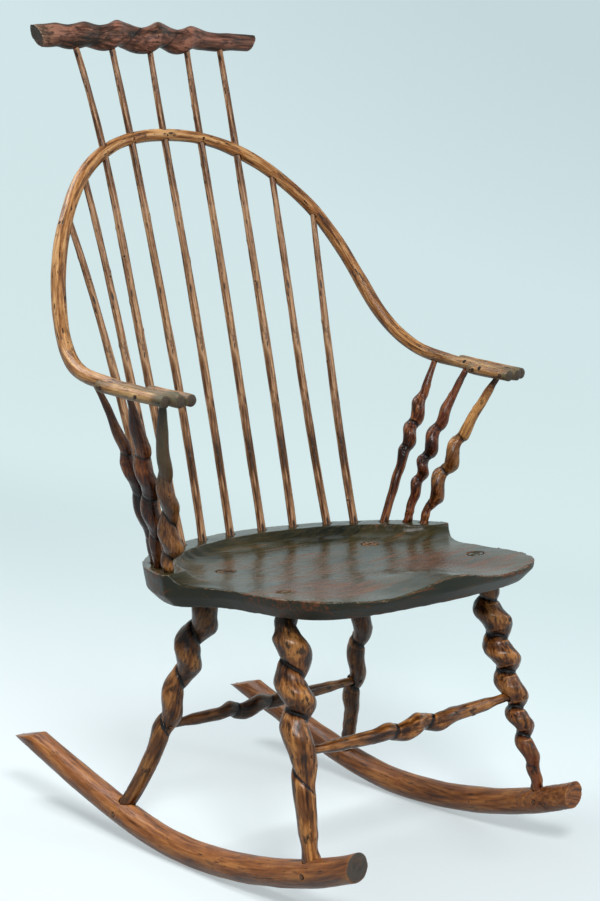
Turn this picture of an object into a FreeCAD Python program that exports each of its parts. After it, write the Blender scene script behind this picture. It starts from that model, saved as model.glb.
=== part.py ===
import FreeCAD, Part
import math
import os

Vector = FreeCAD.Vector
Rotation = FreeCAD.Rotation
Placement = FreeCAD.Placement

# Millimetres and degrees. The chair faces -Y, +X is the sitter's left, +Z is up, and the origin
# is on the floor under the middle of the chair. Values that end in share or shares are parts of
# the size that they follow, picked by eye.

# Clearances and overruns
socket_gap = 0.2          # round a tenon, peg or nail in its hole
tip_gap = 0.5             # between a tenon's tip and the floor of its hole
touch_gap = 0.15          # between two round pieces that lie against each other
overrun = 40.0            # how far a cutting shape passes what it cuts
socket_reach = 16.0       # how far a socket's cutter runs out along its piece

# Seat plank, in its own frame: x across, y back, z up from the deck that holds the spindles
seat_half_width = 263.0
seat_rear_depth = 218.0   # from the seat's widest line back to its rear edge
seat_front_length = 268.0  # from the deck's front end to the pommel
seat_thickness = 45.0
seat_edge_band = 29.0     # height of the nearly upright upper part of the edge
seat_edge_draw = 4.0      # how far the edge draws in over that part
seat_under_draw = 20.0    # how far the underside is drawn in
seat_tilt = 3.0           # the front is higher
deck_height = 397.0       # deck above the floor, at the middle spindle
deck_outer_margin = 18.0  # from the spindle line out to the seat's edge
deck_inner_margin = 27.0  # from the spindle line in to the lip of the dish
deck_end_angle = 83.6     # where the deck stops, round from the middle spindle
ramp_start = 183.0        # from the middle spindle forward to the ramp beside the deck
lip_drop = 16.0
lip_run = 9.0
bowl_depth = 10.0
bowl_half_width = 165.0
bowl_half_length = 120.0
bowl_back = 260.0         # from the middle spindle forward to the bowl's deepest place
trough_depth = 7.0
trough_offset = 112.0
trough_half_width = 62.0
trough_start = 265.0
trough_run = 120.0
pommel_rise = 8.0
pommel_half_width = 48.0
blend_run = 60.0
corner_blend = 12.0
carving_rows = 44
# Front outline from the deck's end to the pommel: shares of the half width and of the length
seat_front_shares = [(0.935, 0.085), (0.88, 0.17), (0.85, 0.26), (0.84, 0.42), (0.833, 0.60),
                     (0.795, 0.76), (0.71, 0.88), (0.545, 0.95), (0.30, 0.985)]

# Spindles. Angles run round the deck from the middle spindle.
spindle_line_y = 112.0    # middle spindle's foot
spindle_foot_diameter = 12.6
spindle_socket_depth = 26.0
spindle_start_depth = 4.0   # a round stick begins this far under the deck
spindle_angles = [47.6, 37.5, 24.8, 13.0, 0.0]
spindle_step_share = 2.6
long_girth_shares = [(0.0, 1.0), (0.06, 1.0), (0.35, 1.03), (0.7, 0.92), (0.8, 0.86), (1.0, 0.76)]
short_girth_shares = [(0.0, 1.0), (0.08, 1.0), (0.4, 1.02), (0.8, 0.84), (0.94, 0.76), (1.0, 0.76)]
# Sideways bow of each spindle at a third and two thirds of its height, sitter's right to left
spindle_bow_shares = [(0.55, 0.65), (0.25, 0.35), (-0.05, 0.05), (0.45, 0.35), (0.25, 0.25),
                      (0.1, 0.15), (0.2, 0.15), (-0.3, -0.16), (-0.38, -0.3)]

# Hoop: one bent rod, from hand to hand over the back
hoop_half_width = 309.0
hoop_reach = 414.0        # fore and aft, from the hands to the top of the hoop
hoop_rise = 325.0         # from the hands up to the top of the hoop
arm_front_y = -159.0
arm_height = 632.0
hoop_skew = 8.5           # the sitter's right hand is this much high, the left as much low
hoop_diameter = 20.0
hoop_step_share = 1.8
# Half of the rod's line from its top to the hand: shares of width, of reach and of rise
hoop_shares = [(0.0, 1.0, 1.0), (0.204, 0.988, 0.985), (0.388, 0.957, 0.930), (0.55, 0.907, 0.836),
               (0.718, 0.827, 0.672), (0.845, 0.745, 0.460), (0.908, 0.678, 0.290),
               (0.962, 0.590, 0.145), (0.996, 0.485, 0.064), (1.0, 0.370, 0.036),
               (0.990, 0.200, 0.015), (0.977, 0.0, 0.0)]
spindle_hoop_rows = [4, 3, 2, 1, 0]   # the row of hoop_shares that each spindle meets
arm_start_row = 8                     # the row where the straighter arm begins
hoop_girth_shares = [(0.0, 0.84), (0.06, 0.88), (0.14, 1.02), (0.2, 1.08), (0.3, 1.02), (0.5, 0.94),
                     (0.7, 1.0), (0.8, 1.08), (0.86, 1.02), (0.94, 0.88), (1.0, 0.84)]
short_tip_depth = 3.0     # a short spindle's tip, past the middle of the rod
hoop_pin_diameter = 2.8
hoop_pin_length = 13.0
hoop_pin_start_share = 0.96   # of the rod's radius

# Crest rail: a flattened twisted stem on the five long spindles
crest_half_length = 202.0
crest_above_hoop = 122.0     # from the hoop's top up to where the spindles enter it
crest_behind_hoop = 31.0
crest_foot_height = arm_height + hoop_rise + crest_above_hoop
crest_foot_y = arm_front_y + hoop_reach + crest_behind_hoop
crest_lean = 15.0
crest_height = 37.0
crest_flat_share = 0.80   # fore and aft thickness as a share of its height
crest_middle_share = 0.44    # from the spindles' entry up to its middle line
crest_end_cut = 28.0      # slope of the sawn ends
crest_end_share = 0.24
crest_socket_depth = 17.0
crest_sag = 3.0           # the ends droop below the middle
crest_rows = 8
crest_step_share = 0.31
crest_twist = {"first_bulge": 1, "swing": 4.8,
               "bulge_shares": [0.103, 0.165, 0.234, 0.30, 0.369, 0.485, 0.556, 0.648, 0.706,
                                0.828],
               "swing_shares": [(0.0, 0.0), (0.05, 0.0), (0.11, 0.35), (0.3, 0.5), (0.37, 1.0),
                                (0.56, 1.0), (0.65, 0.8), (0.72, 0.45), (0.83, 0.3),
                                (0.9, 0.0), (1.0, 0.0)]}
crest_girth_shares = [(0.0, 0.86), (0.1, 0.94), (0.3, 1.05), (0.42, 1.09), (0.6, 1.06), (0.7, 0.94),
                      (0.8, 0.8), (0.9, 0.74), (1.0, 0.72)]
crest_spindle_shares = [0.0, 0.0, 0.645, 0.335, 0.0]

# Winding stems. Each swings out to one side and then to the other at its bulge_shares, along
# bulge_way on posts and legs and upright on stretchers. Bows bend it along the same direction,
# as shares of its diameter.
bulge_way_turn = 42.0     # from the sitter's left toward the front
stem_step_share = 0.28

# Arm posts. arm_share is the place on the arm, as a share of the hoop's reach.
post_socket_depth = 26.0
post_top_depth = 4.0      # a post's tip, past the middle of the arm
post_top_share = 0.7      # the stem ends under the middle of the arm by this share of its radius
post_forms = {
    "right_rear": {"angle": 58.7, "arm_share": 0.406, "diameter": 21.5, "swing": 2.4,
                   "first_bulge": 1, "bulge_shares": [0.2, 0.327, 0.45, 0.56, 0.67],
                   "bow_shares": [(0.5, 0.46)],
                   "girth_shares": [(0.0, 0.6), (0.1, 0.68), (0.3, 0.98), (0.5, 1.0),
                                    (0.68, 0.8), (0.85, 0.53), (0.96, 0.45), (1.0, 0.45)],
                   "swing_shares": [(0.0, 0.0), (0.12, 0.3), (0.25, 1.0), (0.6, 1.0),
                                    (0.75, 0.2), (1.0, 0.0)]},
    "right_mid": {"angle": 68.3, "arm_share": 0.245, "diameter": 25.0, "swing": 2.8,
                  "first_bulge": 1, "bulge_shares": [0.25, 0.365, 0.48, 0.60],
                  "bow_shares": [(0.45, 0.2)],
                  "girth_shares": [(0.0, 0.52), (0.1, 0.64), (0.35, 0.98), (0.6, 1.0),
                                   (0.8, 0.76), (0.96, 0.385), (1.0, 0.385)],
                  "swing_shares": [(0.0, 0.0), (0.15, 0.5), (0.25, 1.0), (0.6, 1.0),
                                   (0.85, 0.2), (1.0, 0.0)]},
    "right_front": {"angle": 78.0, "arm_share": 0.085, "diameter": 28.0, "swing": 3.6,
                    "first_bulge": -1,
                    "bulge_shares": [0.076, 0.155, 0.273, 0.407, 0.531, 0.624, 0.754],
                    "bow_shares": [(0.15, 0.2), (0.4, 0.12), (0.6, 0.0)],
                    "girth_shares": [(0.0, 0.465), (0.07, 0.64), (0.15, 1.0), (0.27, 0.98),
                                     (0.4, 0.86), (0.53, 0.78), (0.64, 0.66), (0.8, 0.57),
                                     (0.93, 0.45), (0.96, 0.35), (1.0, 0.35)],
                    "swing_shares": [(0.0, 0.0), (0.08, 0.8), (0.15, 1.0), (0.27, 1.0),
                                     (0.45, 0.85), (0.6, 0.4), (0.75, 0.1), (1.0, 0.0)]},
    "left_rear": {"angle": 58.7, "arm_share": 0.406, "diameter": 21.5, "swing": 2.5,
                  "first_bulge": 1, "bulge_shares": [0.5, 0.575, 0.65, 0.74],
                  "bow_shares": [(0.6, -0.1)],
                  "girth_shares": [(0.0, 0.605), (0.1, 0.615), (0.35, 0.73), (0.5, 0.98),
                                   (0.72, 1.0), (0.82, 0.66), (0.96, 0.45), (1.0, 0.45)],
                  "swing_shares": [(0.0, 0.0), (0.4, 0.3), (0.5, 1.0), (0.75, 1.0),
                                   (0.85, 0.1), (1.0, 0.0)]},
    "left_mid": {"angle": 68.3, "arm_share": 0.245, "diameter": 21.5, "swing": 3.0,
                 "first_bulge": -1, "bulge_shares": [0.25, 0.32, 0.388, 0.46, 0.564, 0.66],
                 "bow_shares": [(0.4, -0.41)],
                 "girth_shares": [(0.0, 0.6), (0.1, 0.6), (0.3, 0.86), (0.5, 1.0),
                                  (0.7, 0.82), (0.88, 0.51), (0.96, 0.445), (1.0, 0.445)],
                 "swing_shares": [(0.0, 0.0), (0.2, 0.4), (0.33, 1.0), (0.58, 1.0),
                                  (0.8, 0.1), (1.0, 0.0)]},
    "left_front": {"angle": 75.6, "arm_share": 0.085, "diameter": 23.5, "swing": 4.4,
                   "first_bulge": 1, "bulge_shares": [0.18, 0.305, 0.397, 0.521, 0.62],
                   "bow_shares": [(0.2, -0.24), (0.45, -0.37)],
                   "girth_shares": [(0.0, 0.55), (0.08, 0.58), (0.2, 0.94), (0.4, 1.0),
                                    (0.55, 0.84), (0.7, 0.68), (0.88, 0.58), (0.96, 0.41),
                                    (1.0, 0.41)],
                   "swing_shares": [(0.0, 0.0), (0.08, 0.5), (0.18, 1.0), (0.52, 1.0),
                                    (0.62, 0.15), (1.0, 0.0)]},
}

# Legs. The top is where the leg's middle meets the underside of the seat, half_spread out and
# forward of the middle spindle, and foot_y is where it meets the rocker.
leg_tenon_diameter = 22.0
leg_tenon_root = 5.0
leg_start_share = 0.25        # of the seat's thickness, above the underside
leg_foot_share = 0.36         # of the rocker's diameter, above its middle
leg_foot_depth_share = 0.1    # a leg's tip, past the middle of the rocker
wedge_depth = 22.0
wedge_thickness = 4.0
wedge_width = 18.0
leg_forms = {
    "front_leg_right": {"half_spread": 176.0, "forward": 318.0, "foot_y": -286.0,
                        "diameter": 44.0, "swing": 4.6, "first_bulge": 1,
                        "bulge_shares": [0.2, 0.306, 0.389, 0.473, 0.623], "bow_shares": [],
                        "girth_shares": [(0.0, 0.66), (0.08, 0.7), (0.17, 1.0), (0.38, 0.98),
                                         (0.5, 0.88), (0.62, 0.8), (0.72, 0.68), (0.86, 0.6),
                                         (0.94, 0.5), (1.0, 0.5)],
                        "swing_shares": [(0.0, 0.15), (0.12, 0.9), (0.2, 1.0), (0.5, 1.0),
                                         (0.62, 0.7), (0.72, 0.15), (0.8, 0.0), (1.0, 0.0)]},
    "front_leg_left": {"half_spread": 176.0, "forward": 318.0, "foot_y": -301.0,
                       "diameter": 41.0, "swing": 4.6, "first_bulge": -1,
                       "bulge_shares": [0.19, 0.27, 0.36, 0.435, 0.51, 0.597, 0.66, 0.72, 0.79,
                                        0.86],
                       "bow_shares": [],
                       "girth_shares": [(0.0, 0.7), (0.1, 0.75), (0.18, 0.98), (0.38, 1.0),
                                        (0.5, 0.9), (0.64, 0.8), (0.74, 0.68), (0.86, 0.56),
                                        (0.94, 0.44), (1.0, 0.44)],
                       "swing_shares": [(0.0, 0.15), (0.12, 0.9), (0.2, 1.0), (0.45, 1.0),
                                        (0.6, 0.85), (0.72, 0.7), (0.86, 0.5), (0.95, 0.0),
                                        (1.0, 0.0)]},
    "rear_leg_right": {"half_spread": 140.0, "forward": 134.0, "foot_y": 100.0,
                       "diameter": 41.0, "swing": 5.6, "first_bulge": 1,
                       "bulge_shares": [0.175, 0.268, 0.362, 0.474, 0.578],
                       "bow_shares": [(0.3, -0.04), (0.55, 0.12), (0.8, 0.18)],
                       "girth_shares": [(0.0, 0.86), (0.12, 0.94), (0.2, 1.0), (0.3, 0.96),
                                        (0.42, 0.8), (0.6, 0.74), (0.75, 0.62), (0.93, 0.56),
                                        (1.0, 0.56)],
                       "swing_shares": [(0.0, 0.15), (0.12, 0.9), (0.2, 1.0), (0.32, 1.0),
                                        (0.45, 0.75), (0.58, 0.75), (0.7, 0.1), (0.8, 0.0),
                                        (1.0, 0.0)]},
    "rear_leg_left": {"half_spread": 140.0, "forward": 134.0, "foot_y": 87.0,
                      "diameter": 36.0, "swing": 3.6, "first_bulge": -1,
                      "bulge_shares": [0.27, 0.38, 0.49, 0.60, 0.72], "bow_shares": [],
                      "girth_shares": [(0.0, 0.92), (0.14, 1.06), (0.28, 0.88), (0.4, 0.82),
                                       (0.6, 0.72), (0.72, 0.74), (0.8, 0.65), (0.93, 0.62),
                                       (1.0, 0.62)],
                      "swing_shares": [(0.0, 0.15), (0.15, 1.0), (0.4, 1.0), (0.72, 0.9),
                                       (0.82, 0.0), (1.0, 0.0)]},
}

# Stretchers, with their places on the legs as shares of the leg's height from its top
stretcher_tenon_depth = 7.0   # past the middle of the leg
stretcher_socket_reach = 26.0
stretcher_pin_share = 0.2     # the pin's depth into the tenon past its middle
pin_diameter = 3.0
stretcher_forms = {
    "front_stretcher": {"leg_share": 0.563, "diameter": 19.0, "swing": 3.2, "first_bulge": 1,
                        "bulge_shares": [0.36, 0.45, 0.53, 0.63], "bow_shares": [(0.5, -0.3)],
                        "girth_shares": [(0.0, 0.68), (0.07, 0.68), (0.14, 0.92), (0.3, 1.0),
                                         (0.42, 1.3), (0.47, 1.42), (0.52, 1.5), (0.56, 1.28),
                                         (0.62, 1.42), (0.68, 1.2), (0.75, 1.02), (0.86, 0.94),
                                         (0.93, 0.68), (1.0, 0.68)],
                        "swing_shares": [(0.0, 0.0), (0.3, 0.0), (0.44, 1.0), (0.62, 1.0),
                                         (0.74, 0.0), (1.0, 0.0)]},
    "rear_stretcher": {"leg_share": 0.624, "diameter": 19.0, "swing": 4.0, "first_bulge": 1,
                       "bulge_shares": [0.30, 0.39, 0.48], "bow_shares": [(0.5, -0.1)],
                       "girth_shares": [(0.0, 0.68), (0.07, 0.68), (0.14, 0.92), (0.26, 1.0),
                                        (0.36, 1.36), (0.46, 1.3), (0.56, 1.1), (0.7, 1.0),
                                        (0.86, 0.92), (0.93, 0.68), (1.0, 0.68)],
                       "swing_shares": [(0.0, 0.0), (0.22, 0.0), (0.36, 1.0), (0.5, 0.6),
                                        (0.6, 0.0), (1.0, 0.0)]},
}

# Rockers
rocker_half_spread = 205.0
rocker_diameter = 38.0
rocker_front_reaches = {"right": 339.0, "left": 330.0}    # from the lowest point forward
rocker_rear_reach = 387.0
rocker_low_y = -36.0          # the lowest point, under the chair's centre of mass
rocker_front_radius = 830.0
rocker_rear_slope_share = 0.32    # rise over run of the straighter rear part
rocker_rear_bend = 140.0
rocker_rear_cut = 74.0        # the rear end is sawn this far off square, to a thin tip
rocker_front_cut_share = 0.22  # waste beyond each sawn end, as a share of the diameter
rocker_rear_cut_share = 0.42
rocker_rows = 14
rocker_step_share = 0.8
rocker_girth_shares = [(0.0, 0.97), (0.3, 1.0), (0.7, 1.0), (0.9, 0.96), (1.0, 0.90)]
rocker_peg_diameter = 6.0
rocker_peg_share = 0.98       # the peg's length as a share of the rocker's diameter

# Hand pieces: short round sticks beside the end of the hoop rod, outer and inner
hand_piece_diameter = 16.5
hand_piece_start_shares = {"outer": 0.335, "inner": 0.20}   # shares of the hoop's reach
hand_piece_end_shares = {"outer": 0.020, "inner": 0.0}
hand_piece_girth_shares = [(0.0, 0.8), (0.06, 0.97), (0.2, 1.0), (1.0, 1.0)]
hand_piece_rows = 4
hand_piece_step_share = 0.7
hand_nail_diameter = 2.6
hand_nail_head_diameter = 5.2
hand_nail_head_height = 1.0
hand_nail_shares = {"outer": (0.12, 0.62), "inner": (0.2, 0.85)}   # along each piece

front = Vector(0, -1, 0)
up = Vector(0, 0, 1)
left = Vector(1, 0, 0)
bulge_way = Rotation(up, -bulge_way_turn).multVec(left)
sides = {"right": -1, "left": 1}

pieces = {}
cutters = {}


def add_cut(name, shape):
    cutters.setdefault(name, []).append(shape)


def smooth_between(low, high, share):
    return low + (high - low) * (3 - 2 * share) * share * share


def at_share(table, share):
    # The value of a table of (place, value) at one place, with level ground at each row.
    for (place, value), (next_place, next_value) in zip(table, table[1:]):
        if share <= next_place:
            inside = max(0.0, (share - place) / (next_place - place))
            return smooth_between(value, next_value, inside)
    return table[-1][1]


def curve_through(points):
    curve = Part.BSplineCurve()
    curve.interpolate(points)
    return curve


def where_it_reaches(curve, pick, value, low, high):
    # The parameter between low and high where one coordinate reaches a value.
    rising = pick(curve.value(high)) > pick(curve.value(low))
    for _ in range(50):
        middle = (low + high) / 2
        if (pick(curve.value(middle)) < value) == rising:
            low = middle
        else:
            high = middle
    return low


def unit(vector):
    result = Vector(vector)
    result.normalize()
    return result


def ring(centre, along, side, radius, flat_share=1.0):
    # A circle or an ellipse square to a direction; its longer axis and seam lie on side.
    shape = Part.Ellipse(Vector(), radius, radius * flat_share) if flat_share < 1 else None
    edge = shape.toShape() if shape else Part.makeCircle(radius)
    edge.Placement = Placement(centre, Rotation(side, along.cross(side), along, "ZXY"))
    return Part.Wire([edge])


def twist_angle(twist, share):
    # Half a turn from each bulge to the next; past the last one it turns on at the same rate.
    places = twist["bulge_shares"]
    index = 0
    while index < len(places) - 2 and share > places[index + 1]:
        index += 1
    half_turns = index + (share - places[index]) / (places[index + 1] - places[index])
    first = 0.0 if twist["first_bulge"] > 0 else math.pi
    return first - math.pi * half_turns


def stick(points, diameter, girths, across, step, twist=None, flat_share=1.0):
    # A round stem along a curve through points. Its middle may wind round that curve.
    curve = curve_through(points)
    length = curve.length()
    count = max(6, int(math.ceil(length / step)))
    rings = []
    side = across
    for index in range(count + 1):
        share = index / count
        place = curve.parameterAtDistance(length * share, curve.FirstParameter)
        centre = curve.value(place)
        along = curve.tangent(place)[0]
        side = unit(side - along * side.dot(along))
        if twist:
            angle = twist_angle(twist, share)
            swing = twist["swing"] * at_share(twist["swing_shares"], share)
            centre = centre + (side * math.cos(angle) + along.cross(side) * math.sin(angle)) * swing
        rings.append(ring(centre, along, side, diameter / 2 * at_share(girths, share), flat_share))
    return Part.makeLoft(rings, True)


def bowed(start, end, form, way):
    # The points of a stem that bends sideways between its ends.
    points = [start]
    for share, bow in form["bow_shares"]:
        points.append(start + (end - start) * share + way * bow * form["diameter"])
    return points + [end]


def winding_stem(points, form, across):
    step = form["diameter"] * stem_step_share
    return stick(points, form["diameter"], form["girth_shares"], across, step, form)


def peg(point, direction, diameter, length):
    return Part.makeCylinder(diameter / 2, length, point, direction)


def cut_block(corner, facing, size):
    # A cube of waste wood beyond a sawn face; the middle of that face is at corner.
    block = Part.makeBox(size, size, size, Vector(-size / 2, -size / 2, 0))
    block.Placement = Placement(corner, Rotation(up, facing))
    return block


def socket(point, inward, diameter, depth, reach=socket_reach):
    # The cutter for a tenon that goes in from point by depth.
    start = point - inward * reach
    return peg(start, inward, diameter + 2 * socket_gap, reach + depth + tip_gap)


def mirrored(side, point):
    return Vector(side * point.x, point.y, point.z)


# Seat

seat_place = Placement(Vector(0, spindle_line_y, deck_height), Rotation(left, -seat_tilt))
line_half_width = seat_half_width - deck_outer_margin
line_depth = seat_rear_depth - deck_outer_margin
deck_end_y = -line_depth + seat_rear_depth * math.cos(math.radians(deck_end_angle))


def deck_point(angle, drop=0.0):
    turn = math.radians(angle)
    flat = Vector(line_half_width * math.sin(turn), line_depth * (math.cos(turn) - 1), -drop)
    return seat_place.multVec(flat)


def seat_outline(draw, height):
    scale = 1 - draw / seat_half_width
    half_width = seat_half_width * scale
    middle = Vector(0, -line_depth, height)
    ellipse = Part.Ellipse(middle, half_width, seat_rear_depth - draw)
    end = math.radians(deck_end_angle)
    rear = Part.ArcOfEllipse(ellipse, math.pi / 2 - end, math.pi / 2 + end)
    rear_edge = rear.toShape()
    right_end, left_end = rear.EndPoint, rear.StartPoint
    front_length = seat_front_length - draw
    shape = [Vector(across * half_width, right_end.y - forward * front_length, height)
             for across, forward in seat_front_shares]
    pommel = Vector(0, right_end.y - front_length, height)
    left_part = [left_end] + shape + [pommel]
    right_part = [mirrored(-1, point) for point in reversed(shape)] + [right_end]
    front_edge = curve_through(left_part + right_part).toShape()
    return Part.Wire(Part.__sortEdges__([rear_edge, front_edge]))


def seat_height(x, y):
    # Height of the carved top below the deck, at a place of the seat's own frame.
    inner_half_width = line_half_width - deck_inner_margin
    inner_depth = line_depth - deck_inner_margin
    from_lip = (1 - math.hypot(x / inner_half_width, (y + line_depth) / inner_depth)) * inner_depth
    from_ramp = -y - ramp_start
    inside = (from_lip + from_ramp + math.hypot(from_lip - from_ramp, corner_blend)) / 2
    fall = lip_drop * (1 - math.exp(-max(inside, -lip_run) / lip_run))
    settled = 1 - math.exp(-max(inside, 0.0) / blend_run)
    bowl = math.exp(-(x / bowl_half_width) ** 2 - ((y + bowl_back) / bowl_half_length) ** 2)
    forward = min(max((-y - trough_start) / trough_run, 0.0), 1.0)
    towards_front = smooth_between(0.0, 1.0, forward)
    trough = math.exp(-((abs(x) - trough_offset) / trough_half_width) ** 2) * towards_front
    pommel = math.exp(-(x / pommel_half_width) ** 2) * towards_front
    carved = bowl_depth * bowl * settled + trough_depth * trough - pommel_rise * pommel
    return -fall - carved


def dish_cutter():
    # Everything above the carved top of the seat.
    half_width = seat_half_width + overrun
    rear_y = deck_outer_margin + overrun
    front_y = deck_end_y - seat_front_length - overrun
    rows = []
    for row in range(carving_rows + 1):
        y = front_y + (rear_y - front_y) * row / carving_rows
        line = []
        for column in range(carving_rows + 1):
            x = half_width * (2 * column / carving_rows - 1)
            line.append(Vector(x, y, seat_height(x, y)))
        rows.append(line)
    surface = Part.BSplineSurface()
    surface.interpolate(rows)
    cutter = surface.toShape().extrude(Vector(0, 0, seat_thickness + overrun))
    cutter.Placement = seat_place
    return cutter


def make_seat():
    outlines = [seat_outline(0.0, 0.0), seat_outline(seat_edge_draw, -seat_edge_band),
                seat_outline(seat_under_draw, -seat_thickness)]
    plank = Part.makeLoft(outlines, True, True)
    plank.Placement = seat_place
    return plank.cut(above_seat)


def under_seat_block():
    # The space above the underside, for trimming the shoulders of the legs.
    size = 2 * (seat_half_width + seat_front_length)
    corner = seat_place.multVec(Vector(0, -line_depth, -seat_thickness))
    return cut_block(corner, seat_place.Rotation.multVec(up), size)


above_seat = dish_cutter()
shoulder_block = under_seat_block()

# Rockers


def rocker_point(y):
    run = y - rocker_low_y
    if run < 0:
        rise = rocker_front_radius - math.sqrt(rocker_front_radius ** 2 - run ** 2)
    else:
        rise = rocker_rear_slope_share * (math.hypot(run, rocker_rear_bend) - rocker_rear_bend)
    return Vector(0, y, rocker_diameter / 2 + rise)


def make_rocker(side_name):
    side = sides[side_name]
    start = rocker_low_y - rocker_front_reaches[side_name]
    span = rocker_front_reaches[side_name] + rocker_rear_reach
    points = []
    for index in range(rocker_rows + 1):
        point = rocker_point(start + span * index / rocker_rows)
        points.append(Vector(side * rocker_half_spread, point.y, point.z))
    step = rocker_diameter * rocker_step_share
    rod = stick(points, rocker_diameter, rocker_girth_shares, left, step)
    size = rocker_diameter + 2 * overrun
    front_corner = points[0] - front * rocker_diameter * rocker_front_cut_share
    rear_corner = points[-1] - up * rocker_diameter * rocker_rear_cut_share
    rear_facing = Rotation(left, rocker_rear_cut).multVec(front * -1)
    return rod.cut([cut_block(front_corner, front, size), cut_block(rear_corner, rear_facing, size)])


# Hoop


def hoop_point(row, side):
    across, back, rise = hoop_shares[row]
    skew = -hoop_skew * side * across * (1 - rise)
    return Vector(side * across * hoop_half_width, arm_front_y + back * hoop_reach,
                  arm_height + rise * hoop_rise + skew)


def hoop_line():
    last = len(hoop_shares) - 1
    right_part = [hoop_point(row, -1) for row in range(last, 0, -1)]
    left_part = [hoop_point(row, 1) for row in range(last + 1)]
    return right_part + left_part


hoop_curve = curve_through(hoop_line())
hoop_length = hoop_curve.length()


def hoop_radius(place):
    share = hoop_curve.length(hoop_curve.FirstParameter, place) / hoop_length
    return hoop_diameter / 2 * at_share(hoop_girth_shares, share)


def make_hoop():
    step = hoop_diameter * hoop_step_share
    return stick(hoop_line(), hoop_diameter, hoop_girth_shares, up, step)


def arm_place(side, share):
    # The hoop's parameter on one arm, at a share of the reach back from the hand.
    end = hoop_curve.FirstParameter if side < 0 else hoop_curve.LastParameter
    start = hoop_curve.parameter(hoop_point(arm_start_row, side))
    y = arm_front_y + share * hoop_reach
    return where_it_reaches(hoop_curve, lambda point: point.y, y, start, end)


# Hand pieces


def beside_arm(side, outward, share, distance):
    # A point beside the arm, and the level direction that leads to it.
    place = arm_place(side, share)
    level = unit(hoop_curve.tangent(place)[0].cross(up))
    way = level if level.x * side * outward > 0 else level * -1
    return hoop_curve.value(place) + way * (hoop_radius(place) + distance), way


def make_hand_piece(side, side_name, kind):
    name = f"hand_piece_{side_name}_{kind}"
    outward = 1 if kind == "outer" else -1
    start_share = hand_piece_start_shares[kind]
    span = hand_piece_end_shares[kind] - start_share
    points = []
    for index in range(hand_piece_rows + 1):
        share = start_share + span * index / hand_piece_rows
        distance = touch_gap + hand_piece_diameter / 2
        points.append(beside_arm(side, outward, share, distance)[0])
    step = hand_piece_diameter * hand_piece_step_share
    pieces[name] = stick(points, hand_piece_diameter, hand_piece_girth_shares, up, step)
    for nail_share in hand_nail_shares[kind]:
        distance = touch_gap + hand_piece_diameter
        share = start_share + span * nail_share
        head_seat, way = beside_arm(side, outward, share, distance)
        shank_length = hand_piece_diameter + hoop_diameter / 2
        head = peg(head_seat, way, hand_nail_head_diameter, hand_nail_head_height)
        shank = peg(head_seat, way * -1, hand_nail_diameter, shank_length)
        hand_nails.append(head.fuse(shank))
        hole = socket(head_seat, way * -1, hand_nail_diameter, shank_length)
        add_cut(name, hole)
        add_cut("hoop", hole)


# Spindles and crest rail


def crest_foot(index, side):
    across = side * crest_spindle_shares[index] * crest_half_length
    return Vector(across, crest_foot_y, crest_foot_height)


def make_spindle(index, side, number):
    foot = deck_point(side * spindle_angles[index], spindle_start_depth)
    meeting = hoop_point(spindle_hoop_rows[index], side)
    is_long = crest_spindle_shares[index] > 0 or spindle_angles[index] == 0
    girths = long_girth_shares if is_long else short_girth_shares
    points = [foot]
    for place, bow in zip((1 / 3, 2 / 3), spindle_bow_shares[number - 1]):
        points.append(foot + (meeting - foot) * place + left * bow * spindle_foot_diameter)
    points.append(meeting)
    tip_depth = short_tip_depth
    if is_long:
        points.append(crest_foot(index, side))
        tip_depth = crest_socket_depth
    name = f"back_spindle_{number}"
    tip = points[-1]
    curve = curve_through(points)
    down = curve.tangent(curve.FirstParameter)[0] * -1
    end_way = curve.tangent(curve.LastParameter)[0]
    tip_diameter = spindle_foot_diameter * girths[-1][1]
    step = spindle_foot_diameter * spindle_step_share
    body = stick(points, spindle_foot_diameter, girths, left, step)
    foot_depth = spindle_socket_depth - spindle_start_depth
    foot_tenon = peg(foot, down, spindle_foot_diameter, foot_depth)
    tip_tenon = peg(tip, end_way, tip_diameter, tip_depth)
    pieces[name] = body.fuse([foot_tenon, tip_tenon])
    add_cut("seat", socket(foot, down, spindle_foot_diameter, foot_depth))
    if not is_long:
        add_cut("hoop", socket(tip, end_way, tip_diameter, tip_depth))
        return
    add_cut("crest_rail", socket(tip, end_way, tip_diameter, tip_depth, crest_height))
    place = curve.parameter(meeting)
    share = curve.length(curve.FirstParameter, place) / curve.length()
    along = curve.tangent(place)[0]
    diameter = spindle_foot_diameter * at_share(girths, share)
    add_cut("hoop", socket(meeting, along, diameter + socket_gap, hoop_diameter, hoop_diameter))
    make_hoop_pin(name, meeting)


def make_hoop_pin(spindle, meeting):
    # A small pin from the hoop's front into the spindle that passes it.
    radius = hoop_radius(hoop_curve.parameter(meeting))
    start = meeting + front * radius * hoop_pin_start_share
    back = front * -1
    hoop_pins.append(peg(start, back, hoop_pin_diameter, hoop_pin_length))
    hole = socket(start, back, hoop_pin_diameter, hoop_pin_length)
    add_cut("hoop", hole)
    add_cut(spindle, hole)


def make_crest():
    lean_up = Rotation(left, -crest_lean).multVec(up)
    middle = Vector(0, crest_foot_y, crest_foot_height) + lean_up * crest_height * crest_middle_share
    points = []
    for index in range(crest_rows + 1):
        across = 2 * index / crest_rows - 1
        sag = crest_sag * across * across
        points.append(middle + left * across * crest_half_length - lean_up * sag)
    step = crest_height * crest_step_share
    rail = stick(points, crest_height, crest_girth_shares, lean_up, step, crest_twist,
                 crest_flat_share)
    trims = []
    for side, end in ((-1, points[0]), (1, points[-1])):
        facing = Rotation(front, -side * crest_end_cut).multVec(left * side)
        corner = end - left * side * crest_height * crest_end_share
        trims.append(cut_block(corner, facing, crest_height + 2 * overrun))
    return rail.cut(trims)


# Arm posts


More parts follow.
